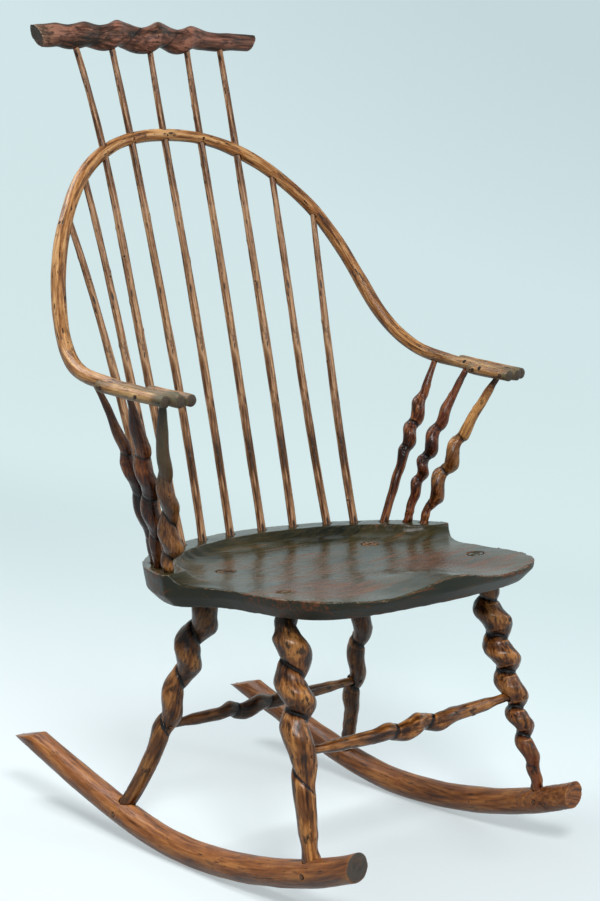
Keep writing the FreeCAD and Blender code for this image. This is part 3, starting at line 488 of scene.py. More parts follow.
def woodMaterial(name, look):
    # one wood: its streaks, blotches, wear, weathering, painted shade in creases, hollows and
    # under the seat, and sawn ends, in the tones of its look
    material = bpy.data.materials.new(name)
    material.use_nodes = True
    tree = material.node_tree
    tree.nodes.clear()
    place = fromPoints(tree, "grain").outputs["Vector"]
    if look.get("plainNode"):
        place = newNode(tree, "TexCoord").outputs["Object"]
    crease, knot, stands, sawn, weatherAndShade, pale, red = (
        fromPoints(tree, title).outputs["Fac"]
        for title in ("crease", "knot", "stands", "sawn", "weatherAndShade", "pale", "red"))
    grain = useGroup(tree, "grain", {"Place": place, "Size": look.get("grainSize", 1.0)})
    dashes = useGroup(tree, "dash", {"Place": place, "Density": look["dashes"]})
    creaseShade = useGroup(tree, "creaseShade", {"Place": place, "Crease": crease, "Knot": knot,
                                     "Stands": stands, "Amount": 1.0})
    rings = useGroup(tree, "ring", {"Place": place})
    tone = calculate(tree, "MULTIPLY_ADD", grain["Streak"], look["streak"])
    tone.node.inputs[2].default_value = 0.5 - 0.5 * (look["streak"] + look["broad"])
    tone = calculate(tree, "ADD", tone, calculate(tree, "MULTIPLY", grain["Broad"],
                                                   look["broad"]))
    # lighter where the wood stands out, as wear, and darker in hollows, as painted shade
    tone = calculate(tree, "ADD", tone, calculate(tree, "MULTIPLY", stands, look["rubbed"]))
    dark, middle, light = look["dark"], look["middle"], look["light"]
    colour = ramp(tree, tone, [(0.22, dark), (0.5, middle), (0.78, light)])
    redShare = calculate(tree, "MULTIPLY", red, between(tree, grain["Broad"], 0.35, 0.6))
    colour = blended(tree, redShare, colour, redStain)
    paleTone = ramp(tree, tone, [(0.2, look.get("paleDark", middle)), (0.7, look["pale"])])
    colour = blended(tree, calculate(tree, "MULTIPLY", pale, between(
        tree, grain["Blotch"], 0.3, 0.48), True), colour, paleTone)
    # stains, weathering (grey on most wood, near-black painted shade near and under the seat on
    # the legs and stretchers), dashes and sawn ends over the streaks
    blotch = between(tree, grain["Blotch"], look["blotchFrom"], look["blotchFrom"] + 0.09)
    patch = between(tree, grain["Broad"], 0.4, 0.62, 0.25, 1.0)
    blotch = calculate(tree, "MULTIPLY", blotch, calculate(tree, "MULTIPLY", patch,
                                                            look["blotches"]))
    colour = blended(tree, blotch, colour, look["blotchTone"])
    weatherAndShadeShare = calculate(tree, "MULTIPLY", weatherAndShade,
                          between(tree, grain["Streak"], 0.36, 0.56, 0.45, 1.0), True)
    colour = blended(tree, weatherAndShadeShare, colour, look.get("weatherAndShadeTone", paint(92, 92, 76)))
    speck = calculate(tree, "MAXIMUM", dashes["Dash"], dashes["Check"])
    colour = blended(tree, calculate(tree, "MULTIPLY", speck, look["dashShare"]), colour,
                     look["dashTone"])
    endTone = ramp(tree, rings["Ring"], [(0.2, look.get("endDark", paint(40, 33, 27))),
                                         (0.9, look.get("endLight", paint(92, 78, 62)))])
    colour = blended(tree, sawn, colour, endTone)
    # painted shade: darker near creases and in hollows, near-black in crease slits and on knots
    colour = blended(tree, calculate(tree, "MULTIPLY", creaseShade["Soft"], look["softShade"]),
                     colour, look["shadeTone"], "MULTIPLY")
    colour = blended(tree, creaseShade["Deep"], colour, deepShade)
    # roughness, then relief
    shine = calculate(tree, "MULTIPLY_ADD", grain["Streak"], look["roughChange"])
    shine.node.inputs[2].default_value = look["rough"] - 0.5 * look["roughChange"]
    shine = calculate(tree, "ADD", shine, calculate(tree, "MULTIPLY", creaseShade["Deep"], 0.3))
    shine = calculate(tree, "ADD", shine, calculate(tree, "MULTIPLY", weatherAndShadeShare, 0.2), True)
    height = calculate(tree, "MULTIPLY_ADD", grain["Streak"], 0.7)
    tree.links.new(calculate(tree, "MULTIPLY", grain["Fibre"], 0.45), height.node.inputs[2])
    height = calculate(tree, "SUBTRACT", height, calculate(tree, "MULTIPLY", speck, 0.5))
    height = calculate(tree, "SUBTRACT", height, calculate(tree, "MULTIPLY", blotch, 0.2))
    height = calculate(tree, "ADD", height, calculate(tree, "MULTIPLY", grain["Blotch"], 0.5))
    bump = newNode(tree, "Bump", {"Height": height, "Strength": 0.6, "Distance": 0.0011})
    shader = newNode(tree, "BsdfPrincipled", {
        "Base Color": colour, "Roughness": shine, "Normal": bump.outputs[0],
        "Specular IOR Level": look.get("gloss", 0.26), "Coat Weight": look.get("coat", 0.0),
        "Coat Roughness": 0.2})
    end = newNode(tree, "OutputMaterial")
    tree.links.new(shader.outputs[0], end.inputs[0])
    return material


# each look's soft shade share and tone darken creases and hollows as painted shade
bentLook = {
    "dark": paint(60, 30, 12), "middle": paint(154, 97, 48), "light": paint(204, 154, 100),
    "pale": paint(222, 182, 124), "streak": 1.9, "broad": 1.0, "rubbed": 0.1,
    "blotchFrom": 0.55, "blotches": 0.75, "blotchTone": paint(62, 32, 14),
    "dashes": 0.4, "dashShare": 0.95, "dashTone": paint(30, 15, 6),
    "softShade": 0.6, "shadeTone": paint(106, 76, 54), "rough": 0.34, "roughChange": 0.3,
    "gloss": 0.28, "weatherAndShadeTone": paint(86, 84, 62)}
rockerLook = {**bentLook, "dark": paint(76, 38, 14), "middle": paint(148, 88, 42),
              "light": paint(186, 124, 68), "blotchTone": paint(64, 30, 14), "broad": 1.1,
              "streak": 1.1, "blotches": 0.45, "dashes": 0.3, "dashShare": 0.75,
              "endDark": paint(40, 34, 30), "endLight": paint(96, 88, 78)}
crestLook = {
    "dark": paint(32, 19, 9), "middle": paint(96, 63, 47), "light": paint(164, 114, 92),
    "pale": paint(176, 148, 118), "streak": 1.4, "broad": 1.8, "rubbed": 0.18,
    "blotchFrom": 0.52, "blotches": 0.8, "blotchTone": paint(28, 14, 9),
    "dashes": 0.34, "dashShare": 0.9, "dashTone": paint(18, 9, 6),
    "softShade": 0.7, "shadeTone": paint(92, 70, 56), "rough": 0.42, "roughChange": 0.25,
    "weatherAndShadeTone": paint(66, 66, 50)}
darkLook = {**crestLook, "dark": paint(30, 10, 4), "middle": paint(84, 42, 19),
            "light": paint(166, 106, 58), "blotchTone": paint(20, 7, 3), "rough": 0.26,
            "pale": paint(222, 166, 96), "paleDark": paint(138, 80, 36), "streak": 1.5,
            "rubbed": 0.32, "gloss": 0.22, "coat": 0.12, "weatherAndShadeTone": paint(64, 62, 46)}
# its weather tone is near-black: painted shade near and under the seat
mottledLook = {
    "dark": paint(44, 21, 8), "middle": paint(124, 75, 34), "light": paint(192, 132, 72),
    "pale": paint(212, 160, 98), "streak": 0.8, "broad": 1.8, "rubbed": 0.4,
    "blotchFrom": 0.53, "blotches": 0.92, "blotchTone": paint(24, 11, 5),
    "dashes": 0.3, "dashShare": 0.85, "dashTone": paint(16, 7, 4),
    "softShade": 0.95, "shadeTone": paint(56, 31, 18), "rough": 0.24, "roughChange": 0.3,
    "gloss": 0.22, "coat": 0.14, "weatherAndShadeTone": paint(20, 11, 6)}
spindleLook = {
    "dark": paint(52, 29, 13), "middle": paint(126, 85, 52), "light": paint(198, 156, 116),
    "pale": paint(196, 158, 116), "streak": 1.9, "broad": 1.3, "rubbed": 0.1,
    "blotchFrom": 0.54, "blotches": 0.65, "blotchTone": paint(56, 28, 15),
    "dashes": 0.42, "dashShare": 0.9, "dashTone": paint(24, 12, 7),
    "softShade": 0.65, "shadeTone": paint(96, 66, 46), "rough": 0.38, "roughChange": 0.3}
pegLook = {**bentLook, "plainNode": True, "dark": paint(50, 28, 14), "middle": paint(98, 62, 34),
           "light": paint(136, 94, 58), "grainSize": 2.0}
bentWood = woodMaterial("bentWood", bentLook)
rockerWood = woodMaterial("rockerWood", rockerLook)
crestWood = woodMaterial("crestWood", crestLook)
darkWood = woodMaterial("darkWood", darkLook)
mottledWood = woodMaterial("mottledWood", mottledLook)
spindleWood = woodMaterial("spindleWood", spindleLook)
pegWood = woodMaterial("pegWood", pegLook)


def seatMaterial():
    # dark paint over a red ground, rubbed through where people sit and on the edges
    material = bpy.data.materials.new("seatPaint")
    material.use_nodes = True
    tree = material.node_tree
    tree.nodes.clear()
    place = newNode(tree, "TexCoord").outputs["Object"]
    stands, rubbed, edge = (fromPoints(tree, title).outputs["Fac"]
                            for title in ("stands", "rubbed", "edge"))
    cloud = stretched(tree, place, (0.35, 1, 1), 16, 5, 0.6)
    streak = stretched(tree, place, (0.09, 1, 1), 190, 5, 0.65)
    fine = stretched(tree, place, (0.05, 1, 1), 900, 3, 0.6)
    speck = stretched(tree, place, (0.6, 1, 1), 420, 4, 0.7)
    tone = calculate(tree, "ADD", calculate(tree, "MULTIPLY", cloud, 0.6),
                     calculate(tree, "MULTIPLY", streak, 0.4))
    colour = ramp(tree, tone, [(0.36, paint(18, 21, 13)), (0.5, paint(60, 54, 32)),
                               (0.62, paint(86, 72, 42))])
    # faces that turn away from the top take a darker green: partly the sides' own less worn
    # paint, partly painted shade
    colour = blended(tree, calculate(tree, "MULTIPLY", edge, 0.8), colour, paint(20, 25, 18))
    worn = calculate(tree, "MULTIPLY_ADD", streak, 0.9)
    tree.links.new(calculate(tree, "MULTIPLY", cloud, 0.8), worn.node.inputs[2])
    worn = calculate(tree, "ADD", worn, calculate(tree, "MULTIPLY", rubbed, 0.32))
    worn = calculate(tree, "ADD", worn, calculate(tree, "MULTIPLY", stands, 0.08))
    through = between(tree, worn, 0.96, 1.12)
    redTone = ramp(tree, streak, [(0.35, paint(56, 30, 16)), (0.65, paint(114, 64, 38))])
    colour = blended(tree, calculate(tree, "MULTIPLY", through, 0.7), colour, redTone)
    bare = between(tree, calculate(tree, "ADD", calculate(tree, "MULTIPLY", stands, 0.5),
                                   speck), 1.15, 1.45)
    colour = blended(tree, calculate(tree, "MULTIPLY", bare, 0.6), colour, paint(150, 132, 110))
    # painted shade: the paint darkens in hollows
    hollowShade = between(tree, stands, -0.4, -1.5)
    colour = blended(tree, calculate(tree, "MULTIPLY", hollowShade, 0.8), colour, paint(20, 18, 15))
    shine = calculate(tree, "MULTIPLY_ADD", streak, 0.3)
    tree.links.new(between(tree, edge, 0.2, 0.8, 0.06, 0.3), shine.node.inputs[2])
    shine = calculate(tree, "ADD", shine, calculate(tree, "MULTIPLY", through, 0.06), True)
    height = calculate(tree, "ADD", calculate(tree, "MULTIPLY", fine, 0.3),
                       calculate(tree, "MULTIPLY", streak, 0.7))
    height = calculate(tree, "SUBTRACT", height, calculate(tree, "MULTIPLY", through, 0.25))
    bump = newNode(tree, "Bump", {"Height": height, "Strength": 0.35, "Distance": 0.0009})
    shader = newNode(tree, "BsdfPrincipled", {
        "Base Color": colour, "Roughness": shine, "Normal": bump.outputs[0],
        "Specular IOR Level": 0.24, "Coat Weight": 0.0})
    end = newNode(tree, "OutputMaterial")
    tree.links.new(shader.outputs[0], end.inputs[0])
    return material


def nailMaterial():
    # old iron, dark with rust and a little rubbed metal
    material = bpy.data.materials.new("nailIron")
    material.use_nodes = True
    tree = material.node_tree
    tree.nodes.clear()
    place = newNode(tree, "TexCoord").outputs["Object"]
    rust = stretched(tree, place, (1, 1, 1), 700, 5, 0.65)
    colour = ramp(tree, rust, [(0.4, paint(30, 26, 24)), (0.55, paint(70, 44, 30)),
                               (0.7, paint(104, 84, 70))])
    bump = newNode(tree, "Bump", {"Height": rust, "Strength": 0.6, "Distance": 0.0004})
    shader = newNode(tree, "BsdfPrincipled", {
        "Base Color": colour, "Roughness": between(tree, rust, 0.4, 0.65, 0.4, 0.75),
        "Metallic": between(tree, rust, 0.45, 0.6, 0.8, 0.1), "Normal": bump.outputs[0]})
    end = newNode(tree, "OutputMaterial")
    tree.links.new(shader.outputs[0], end.inputs[0])
    return material


seatPaint = seatMaterial()
nailIron = nailMaterial()
print("materials made")


# the hoop, which is both arms too
hoop = {
    "seed": 11, "bend": None, "across": upward, "strayKnots": 7, "faceSize": 0.0014,
    "lump": 0.55, "flute": 0.4, "knots": [(0.93, 60, 8, 1.4), (0.30, -60, 6, 0.8)],
    "weatherAndShade": [(0, 1), (0.05, 0.8), (0.09, 0.15), (0.12, 0), (0.86, 0), (0.9, 0.2), (0.96, 0.35),
                (1, 1)],
    "pale": [(0, 0.2), (0.1, 0.2), (0.2, 0.35), (0.5, 0.1), (0.8, 0.1), (0.9, 0.5), (1, 0.4)],
    "dome": {"rise": 2.5, "radius": 0.0085},
    "line": [(-0.3019, -0.159, 0.6403), (-0.3046, -0.0978, 0.6438), (-0.3079, -0.0366, 0.6486),
             (-0.3091, 0.0243, 0.6562), (-0.2994, 0.0789, 0.6808), (-0.2828, 0.1176, 0.7251),
             (-0.2647, 0.1453, 0.7768), (-0.2394, 0.1698, 0.827), (-0.2057, 0.1949, 0.8717),
             (-0.1638, 0.2196, 0.909), (-0.1132, 0.2392, 0.9374), (-0.0553, 0.2511, 0.9534),
             (0.0057, 0.255, 0.957), (0.0665, 0.2495, 0.9514), (0.1231, 0.2362, 0.9325),
             (0.1718, 0.2155, 0.9015), (0.2115, 0.1909, 0.8618), (0.2431, 0.1667, 0.8152),
             (0.2665, 0.1431, 0.7636), (0.2837, 0.1161, 0.7112), (0.2996, 0.0782, 0.6659),
             (0.309, 0.0242, 0.64), (0.3079, -0.0366, 0.6321), (0.3046, -0.0978, 0.6272),
             (0.3019, -0.159, 0.6237)]}
settle(carveStem("hoop", hoop, hoop), "hoop", "bent_wood", bentWood)
print("hoop carved")

# the rockers
rockers = {
    "faceSize": 0.0017, "lump": 0.7, "flute": 0.45,
    "right": {"seed": 21, "strayKnots": 4, "knots": [(0.03, 40, 9, 1.0)]},
    "left": {"seed": 24, "strayKnots": 5, "knots": []},
    "line": [(-0.37, 0.0892), (-0.2676, 0.052), (-0.1792, 0.0315), (-0.0909, 0.0208),
             (-0.0025, 0.0203), (0.0859, 0.0336), (0.1742, 0.055), (0.2626, 0.0797),
             (0.351, 0.1059)]}
for sideName, across in (("right", -0.205), ("left", 0.205)):
    form = {**rockers[sideName], "bend": 7, "sawnReach": 0.09, "across": (1, 0, 0),
            "line": [(across, y, z) for y, z in rockers["line"]]}
    node = "rocker_" + sideName
    settle(carveStem(node, form, rockers), node, "bent_wood", rockerWood)
print("rockers carved")

# the hand pieces
hands = {
    "faceSize": 0.0012, "lump": 0.5, "flute": 0.35,
    "hand_piece_right_outer": {"seed": 31, "pale": [(0, 0.1), (0.2, 0.2), (0.3, 1), (0.8, 1),
                                                    (0.86, 0.1), (1, 0)]},
    "hand_piece_right_inner": {"seed": 32, "pale": [(0, 0.3), (1, 0.2)]},
    "hand_piece_left_outer": {"seed": 33, "pale": [(0, 0.4), (1, 0.3)]},
    "hand_piece_left_inner": {"seed": 34, "pale": [(0, 0.4), (1, 0.3)],
                              "knots": [(0.35, 60, 8, 1.5)]}}
for node in [name for name in hands if name.startswith("hand_piece")]:
    low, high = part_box(node)
    middleX, middleZ = (low.x + high.x) / 2, (low.z + high.z) / 2
    form = {**hands[node], "strayKnots": 1, "across": upward,
            "line": [(middleX, high.y, middleZ), (middleX, low.y, middleZ)],
            "weatherAndShade": [(0, 0.9), (0.08, 0.7), (0.25, 0.2), (0.8, 0.25), (0.9, 0.9), (1, 1)],
            "dome": {"rise": 2.5, "radius": 0.008}}
    settle(carveStem(node, form, hands), node, "bent_wood", bentWood)
print("hand pieces carved")

# the spindles, from the sitter's right to the left
spindles = {
    "faceSize": 0.0013, "lump": 0.3, "flute": 0.22, "rounds": 8,
    "feet": [(-0.1809, 0.0467, 0.3964), (-0.1491, 0.0705, 0.3952), (-0.1028, 0.0934, 0.394),
             (-0.0551, 0.1067, 0.3933), (0, 0.1118, 0.393)],
    "meetings": [(-0.2219, 0.1834, 0.8524), (-0.17, 0.2165, 0.9045), (-0.1199, 0.2372, 0.9345),
                 (-0.063, 0.25, 0.9522), (0, 0.255, 0.957)],
    "tops": [None, None, (-0.1303, 0.286, 1.079), (-0.0677, 0.286, 1.079), (0, 0.286, 1.079)]}
for number in range(1, 10):
    row, side = (number - 1, 1) if number <= 5 else (9 - number, -1)
    stations = [spindles["feet"][row], spindles["meetings"][row], spindles["tops"][row]]
    form = {"seed": 40 + number, "bend": 6, "strayKnots": 6, "across": photoRight,
            "line": [(side * x, y, z) for x, y, z in filter(None, stations)],
            "pale": [(0, 0.05), (0.5, 0.25), (1, 0.1)], "red": [(0, 0.3), (0.3, 0.1), (1, 0.3)]}
    node = f"back_spindle_{number}"
    settle(carveStem(node, form, spindles), node, "spindle_wood", spindleWood)
print("spindles carved")

# the crest rail
crest = {
    "seed": 61, "faceSize": 0.0013, "lump": 0.6, "flute": 0.35, "bend": 3, "first": 1,
    "across": (0, 0.26, 0.97), "line": [(-0.202, 0.289, 1.092), (0.202, 0.289, 1.092)],
    "bulges": [0.103, 0.165, 0.234, 0.30, 0.369, 0.485, 0.556, 0.648, 0.706, 0.828],
    "fade": [(0, 0), (0.1, 0.2), (0.3, 0.5), (0.5, 0.8), (0.65, 0.5), (0.75, 0.1), (0.85, 0)],
    "depth": 1.2, "lip": 0.2, "slant": 0.05, "strayKnots": 3,
    "knots": [(0.44, 95, 4, 0.9), (0.51, 100, 3.5, 0.8)],
    "pale": [(0, 0.8), (0.05, 0.2), (0.1, 0), (1, 0)],
    "red": [(0, 0.2), (1, 0.4)]}
settle(carveStem("crest_rail", crest, crest), "crest_rail", "dark_wood", crestWood)
print("crest rail carved")

# the arm posts, from the seat up to the arm
posts = {
    "faceSize": 0.0011, "lump": 0.4, "flute": 0.3, "rounds": 10,
    "right_rear": {"seed": 71, "line": [(-0.2093, 0.0158, 0.398), (-0.3067, 0.0093, 0.6473)],
                   "first": 1, "bulges": [0.2, 0.327, 0.45, 0.56, 0.67], "depth": 1.5,
                   "fade": [(0, 0), (0.1, 0.3), (0.25, 1), (0.6, 1), (0.75, 0.1), (1, 0)]},
    "right_mid": {"seed": 72, "line": [(-0.2276, -0.0141, 0.3996), (-0.3051, -0.0565, 0.6408)],
                  "first": 1, "bulges": [0.25, 0.365, 0.48, 0.60], "depth": 1.8,
                  "fade": [(0, 0), (0.15, 0.5), (0.25, 1), (0.6, 1), (0.8, 0.1), (1, 0)]},
    "right_front": {"seed": 73, "line": [(-0.2396, -0.0464, 0.4013), (-0.3017, -0.122, 0.6369)],
                    "first": -1, "bulges": [0.076, 0.155, 0.273, 0.407, 0.531, 0.624, 0.754],
                    "depth": 3.0, "weatherAndShade": [(0, 0.1), (0.5, 0.15), (0.6, 0.8), (1, 1)],
                    "slant": 0.08, "pale": [(0, 0.25), (0.4, 0.25), (0.6, 0.1), (1, 0)],
                    "fade": [(0, 0), (0.06, 1), (0.45, 1), (0.6, 0.3), (0.75, 0), (1, 0)]},
    "left_rear": {"seed": 74, "line": [(0.2093, 0.0158, 0.398), (0.3066, 0.0093, 0.631)],
                  "first": 1, "bulges": [0.5, 0.575, 0.65, 0.74], "depth": 1.3,
                  "knots": [(0.42, -90, 5, 1.3)],
                  "fade": [(0, 0), (0.42, 0.1), (0.5, 1), (0.72, 1), (0.82, 0), (1, 0)]},
    "left_mid": {"seed": 75, "line": [(0.2276, -0.0141, 0.3996), (0.305, -0.0565, 0.6243)],
                 "first": -1, "bulges": [0.25, 0.32, 0.388, 0.46, 0.564, 0.66], "depth": 2.2,
                 "fade": [(0, 0), (0.25, 0.3), (0.35, 1), (0.56, 1), (0.72, 0.1), (1, 0)],
                 "red": [(0, 0.6), (1, 0.6)]},
    "left_front": {"seed": 76, "line": [(0.2373, -0.0383, 0.4009), (0.3016, -0.1218, 0.6204)],
                   "first": 1, "bulges": [0.18, 0.305, 0.397, 0.521, 0.62], "depth": 2.6,
                   "fade": [(0, 0), (0.08, 0.3), (0.2, 1), (0.55, 1), (0.66, 0), (1, 0)],
                   "pale": [(0, 0), (0.25, 0.1), (0.35, 0.5), (0.5, 0.4), (0.6, 0.7),
                            (0.82, 0.65), (0.95, 0.1), (1, 0)]}}
for kind in [name for name in posts if "_" in name]:
    form = {"near": -1, "across": photoRight, "strayKnots": 4, "lip": 0.5,
            "red": [(0, 0.35), (1, 0.35)], **posts[kind]}
    node = "arm_post_" + kind
    settle(carveStem(node, form, posts), node, "dark_wood", darkWood)
print("arm posts carved")

# the legs, from the seat down to the rocker
# the weather tables darken the legs near and under the seat: painted shade
legs = {
    "faceSize": 0.0012, "lump": 0.6, "flute": 0.4,
    "front_leg_right": {"seed": 81, "first": 1, "depth": 6.4,
                        "line": [(-0.175, -0.2052, 0.3796), (-0.2038, -0.2827, 0.0708)],
                        "bulges": [0.2, 0.306, 0.389, 0.473, 0.623], "slant": 0.08,
                        "weatherAndShade": [(0, 1), (0.1, 0.95), (0.19, 0.1), (1, 0)],
                        "fade": [(0, 0.3), (0.12, 1), (0.55, 1), (0.68, 0.7), (0.75, 0)]},
    "front_leg_left": {"seed": 82, "first": -1, "depth": 5.6,
                       "line": [(0.175, -0.2047, 0.3794), (0.2038, -0.297, 0.0755)],
                       "bulges": [0.19, 0.27, 0.36, 0.435, 0.51, 0.597, 0.66, 0.72, 0.79, 0.86],
                       "knots": [(0.26, 35, 7, 2.0)], "slant": 0.22,
                       "weatherAndShade": [(0, 0.9), (0.1, 0.6), (0.17, 0.1), (1, 0)],
                       "red": [(0, 0), (0.5, 0.2), (0.7, 0.8), (1, 0.9)],
                       "fade": [(0, 0.4), (0.12, 1), (0.7, 1), (0.86, 0.5), (0.92, 0)]},
    "rear_leg_right": {"seed": 83, "first": 1, "depth": 5.0,
                       "line": [(-0.1379, -0.0281, 0.3694), (-0.2025, 0.0952, 0.0492)],
                       "bulges": [0.175, 0.268, 0.362, 0.474, 0.578], "slant": 0.08,
                       "weatherAndShade": [(0, 0.6), (0.3, 0.35), (1, 0.4)],
                       "fade": [(0, 0.3), (0.12, 1), (0.5, 1), (0.62, 0.5), (0.7, 0)]},
    "rear_leg_left": {"seed": 84, "first": -1, "depth": 3.6,
                      "line": [(0.1379, -0.0277, 0.3695), (0.2025, 0.0827, 0.0466)],
                      "bulges": [0.27, 0.38, 0.49, 0.60, 0.72],
                      "weatherAndShade": [(0, 0.4), (1, 0.5)],
                      "fade": [(0, 0.1), (0.2, 1), (0.7, 1), (0.82, 0)]}}
seatInside = 0.392  # leg tenons above this height are painted with the seat
for node in [name for name in legs if "_leg_" in name]:
    form = {"across": photoRight, "strayKnots": 5, "lip": 0.8, **legs[node]}
    piece = carveStem(node, form, legs)
    settle(piece, node, "mottled_wood", mottledWood, seatPaint)
    heights = np.empty(len(piece.data.polygons) * 3, np.float32)
    piece.data.polygons.foreach_get("center", heights)
    painted = (heights.reshape(-1, 3)[:, 2] > seatInside).astype(np.int32)
    piece.data.polygons.foreach_set("material_index", painted)
    level = readPoints(piece.data)[:, 2] > seatInside
    stands = np.empty(len(level), np.float32)
    piece.data.attributes["stands"].data.foreach_get("value", stands)
    stands[level] = 0
    piece.data.attributes["stands"].data.foreach_set("value", stands)
print("legs carved")

# the stretchers
# the rear stretcher's weather table darkens it under the seat: painted shade
stretchers = {
    "faceSize": 0.0012, "lump": 0.5, "flute": 0.35,
    "front_stretcher": {"seed": 91, "line": [(-0.185, -0.2502, 0.201), (0.185, -0.2581, 0.2035)],
                        "first": 1, "bulges": [0.36, 0.45, 0.53, 0.63], "depth": 2.4,
                        "fade": [(0, 0), (0.32, 0), (0.42, 1), (0.64, 1), (0.72, 0), (1, 0)]},
    "rear_stretcher": {"seed": 92, "line": [(-0.1671, 0.0458, 0.1657), (0.172, 0.0426, 0.1641)],
                       "first": 1, "bulges": [0.30, 0.39, 0.48], "depth": 2.0,
                       "weatherAndShade": [(0, 0.8), (0.6, 0.75), (0.8, 0.2), (1, 0.1)],
                       "fade": [(0, 0), (0.26, 0), (0.34, 1), (0.5, 1), (0.6, 0), (1, 0)]}}
for node in [name for name in stretchers if "_" in name]:
    form = {"across": upward, "strayKnots": 3, "lip": 0.5, **stretchers[node]}
    settle(carveStem(node, form, stretchers), node, "mottled_wood", mottledWood)
print("stretchers carved")

# the seat
seat = {"faceSize": 0.0024, "seed": 101,
        "rubbedSpots": [(0.0, -0.10, 0.20, 0.5), (0.11, -0.21, 0.09, 0.9),
                        (-0.11, -0.21, 0.09, 0.9)]}


def carveSeat():
    piece = evenCopy("seat", seat["faceSize"])
    mesh = piece.data
    points, normals = readPoints(mesh), readPoints(mesh, "normal")
    stands = convexity(mesh, points, normals, 10) / 0.0009
    edge = np.clip(stands, 0, 1.5)
    moved = 0.0004 * noiseAt(points * [18, 26, 26], seat["seed"])
    moved += 0.00018 * noiseAt(points * [60, 90, 90], seat["seed"] + 1)
    dents = np.clip(noiseAt(points * 75, seat["seed"] + 2) - 0.25, 0, 1)
    moved -= 0.0022 * dents * np.clip(edge - 0.2, 0, 1) + 0.0002
    points = points + normals * moved[:, None]
    writePoints(mesh, points)
    rubbed = np.zeros(len(points))
    for x, y, reach, strength in seat["rubbedSpots"]:
        away = np.hypot(points[:, 0] - x, points[:, 1] - y) / reach
        rubbed = np.maximum(rubbed, strength * np.exp(-away ** 2))
    keepValues(mesh, "stands", np.clip(stands, -2, 2))
    keepValues(mesh, "rubbed", rubbed)
    # how far each face turns from upward; the seat paint darkens these faces, partly as painted
    # shade
    keepValues(mesh, "edge", np.clip(1 - normals[:, 2], 0, 1))
    return piece


settle(carveSeat(), "seat", "seat_paint", seatPaint)
print("seat carved")

# pins, pegs, wedges and nails stay as the CAD has them
for node, material in (("hoop_pins", pegWood), ("rocker_pegs", pegWood),
                       ("stretcher_pins", pegWood), ("leg_wedges", seatPaint),
                       ("hand_piece_nails", nailIron)):
    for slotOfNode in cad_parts[node].material_slots:
        slotOfNode.link = "OBJECT"
        slotOfNode.material = material
print("small fixings finished")

# floor, backdrop, light and camera
studio = {"reach": 6.0, "bend": 1.6, "height": 6.5, "bendSteps": 12, "turnSteps": 96,
          "wayOn": (1.26, 0.2, 1.0), "span": 8.0, "mottle": 0.05,
          "plainFrom": 0.08, "plainTo": 0.35, "plainShare": 0.42,
          "litShade": paint(250, 250, 250),
          "tones": [(0.03, paint(240, 250, 253)), (0.13, paint(228, 244, 246)),
                    (0.24, paint(217, 236, 238)), (0.6, paint(211, 231, 233)),
                    (0.8, paint(210, 229, 232)), (1.0, paint(197, 216, 220))]}


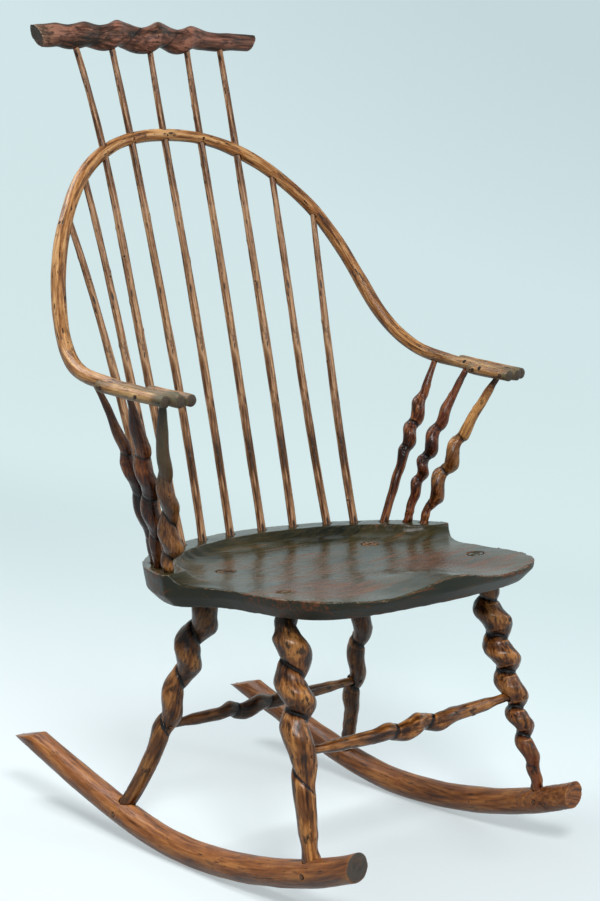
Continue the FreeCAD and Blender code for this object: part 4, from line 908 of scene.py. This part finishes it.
def makeStudio():
    # a floor that curves up into a round wall
    shape = bmesh.new()
    reach, bend, steps = studio["reach"], studio["bend"], studio["bendSteps"]
    profile = [shape.verts.new((0, 0, 0)), shape.verts.new((reach - bend, 0, 0))]
    for step in range(1, steps + 1):
        angle = math.pi / 2 * step / steps
        profile.append(shape.verts.new((reach - bend * (1 - math.sin(angle)), 0,
                                        bend * (1 - math.cos(angle)))))
    profile.append(shape.verts.new((reach, 0, studio["height"])))
    edges = [shape.edges.new(pair) for pair in zip(profile, profile[1:])]
    bmesh.ops.spin(shape, geom=profile + edges, cent=(0, 0, 0), axis=(0, 0, 1),
                   angle=2 * math.pi, steps=studio["turnSteps"], use_merge=True)
    bmesh.ops.remove_doubles(shape, verts=shape.verts, dist=0.0001)
    bmesh.ops.recalc_face_normals(shape, faces=shape.faces)
    underChair = min(shape.faces, key=lambda face: face.calc_center_median().length)
    if underChair.normal.z < 0:
        bmesh.ops.reverse_faces(shape, faces=shape.faces)
    mesh = bpy.data.meshes.new("backdrop")
    shape.to_mesh(mesh)
    shape.free()
    backdrop = bpy.data.objects.new("backdrop", mesh)
    scene.collection.objects.link(backdrop)
    mesh.shade_smooth()
    backdrop.visible_diffuse = False
    backdrop.visible_shadow = False
    material = bpy.data.materials.new("backdropPaper")
    material.use_nodes = True
    tree = material.node_tree
    tree.nodes.clear()
    # painted light: for the camera and in reflections the backdrop glows, in tones that darken
    # away from the front of the room and up the wall as the light falls off
    place = newNode(tree, "TexCoord").outputs["Object"]
    away = newNode(tree, "VectorMath", {0: place, 1: studio["wayOn"]},
                   operation="DOT_PRODUCT").outputs["Value"]
    mottle = newNode(tree, "TexNoise", {"Vector": place, "Scale": 3.0, "Detail": 2.0})
    away = calculate(tree, "ADD", away,
                     calculate(tree, "MULTIPLY", mottle.outputs[0], studio["mottle"]))
    share = newNode(tree, "MapRange", {"Value": away, "From Min": 0.0,
                                       "From Max": studio["span"]}).outputs[0]
    colour = ramp(tree, share, studio["tones"])
    plainness = between(tree, share, studio["plainFrom"], studio["plainTo"],
                        studio["plainShare"], 1.0)
    litColour = blended(tree, 1.0, colour, studio["litShade"], "MULTIPLY")
    lit = newNode(tree, "BsdfPrincipled", {"Base Color": litColour, "Roughness": 1.0,
                                           "Specular IOR Level": 0.0})
    paintedGlow = newNode(tree, "Emission", {"Color": colour, "Strength": 1.0})
    path = newNode(tree, "LightPath").outputs
    seen = calculate(tree, "ADD", path["Is Camera Ray"], path["Is Glossy Ray"], True)
    seen = calculate(tree, "ADD", seen, path["Is Transmission Ray"], True)
    mixed = newNode(tree, "MixShader", {0: calculate(tree, "MULTIPLY", seen, plainness),
                                        1: lit.outputs[0], 2: paintedGlow.outputs[0]})
    clear = newNode(tree, "BsdfTransparent")
    behind = newNode(tree, "NewGeometry").outputs["Backfacing"]
    last = newNode(tree, "MixShader", {0: behind, 1: mixed.outputs[0], 2: clear.outputs[0]})
    end = newNode(tree, "OutputMaterial")
    tree.links.new(last.outputs[0], end.inputs[0])
    mesh.materials.append(material)


room = {"tint": paint(238, 246, 250), "fromBelow": 0.08, "fromAbove": 0.36,
        "lowestWay": -0.6, "highestWay": 0.5}


def makeWorld():
    # soft light from everywhere, less of it from below
    world = bpy.data.worlds.new("softRoom")
    scene.world = world
    world.use_nodes = True
    tree = world.node_tree
    tree.nodes.clear()
    way = newNode(tree, "SeparateXYZ", {0: newNode(tree, "TexCoord").outputs["Generated"]})
    level = newNode(tree, "MapRange", {
        "Value": way.outputs[2], "From Min": room["lowestWay"], "From Max": room["highestWay"],
        "To Min": room["fromBelow"], "To Max": room["fromAbove"]})
    sky = newNode(tree, "Background", {"Color": room["tint"], "Strength": level.outputs[0]})
    end = newNode(tree, "OutputWorld")
    tree.links.new(sky.outputs[0], end.inputs[0])


lamps = {
    "overhead": {"at": (-0.6, 1.5, 2.9), "size": 1.0, "power": 50},
    "front": {"at": (-1.5, -2.5, 2.6), "size": 0.8, "power": 96},
    "side": {"at": (2.2, -1.8, 1.8), "size": 1.0, "power": 16}}
lampsAimAt = Vector((0, 0, 0.5))


def makeLamps():
    for name, lamp in lamps.items():
        light = bpy.data.lights.new(name, "AREA")
        light.shape = "SQUARE"
        light.size = lamp["size"]
        light.energy = lamp["power"]
        holder = bpy.data.objects.new(name, light)
        scene.collection.objects.link(holder)
        holder.location = lamp["at"]
        aim = Vector(lamp["at"]) - lampsAimAt
        holder.rotation_euler = aim.to_track_quat("Z", "Y").to_euler()
        holder.visible_camera = False


camera = {"at": (-1.7925, -2.0265, 0.9622), "azimuth": -42.0, "elevation": 9.064,
          "lens": 79.93, "sensor": 36.0}


def makeCamera():
    azimuth, elevation = math.radians(camera["azimuth"]), math.radians(camera["elevation"])
    back = Vector((math.sin(azimuth) * math.cos(elevation),
                   -math.cos(azimuth) * math.cos(elevation), math.sin(elevation)))
    lens = bpy.data.cameras.new("photographCamera")
    lens.lens = camera["lens"]
    lens.sensor_width = camera["sensor"]
    holder = bpy.data.objects.new("photographCamera", lens)
    scene.collection.objects.link(holder)
    holder.location = camera["at"]
    holder.rotation_euler = back.to_track_quat("Z", "Y").to_euler()
    scene.camera = holder


makeStudio()
makeWorld()
makeLamps()
makeCamera()
scene.view_settings.view_transform = "Standard"
print("studio ready")
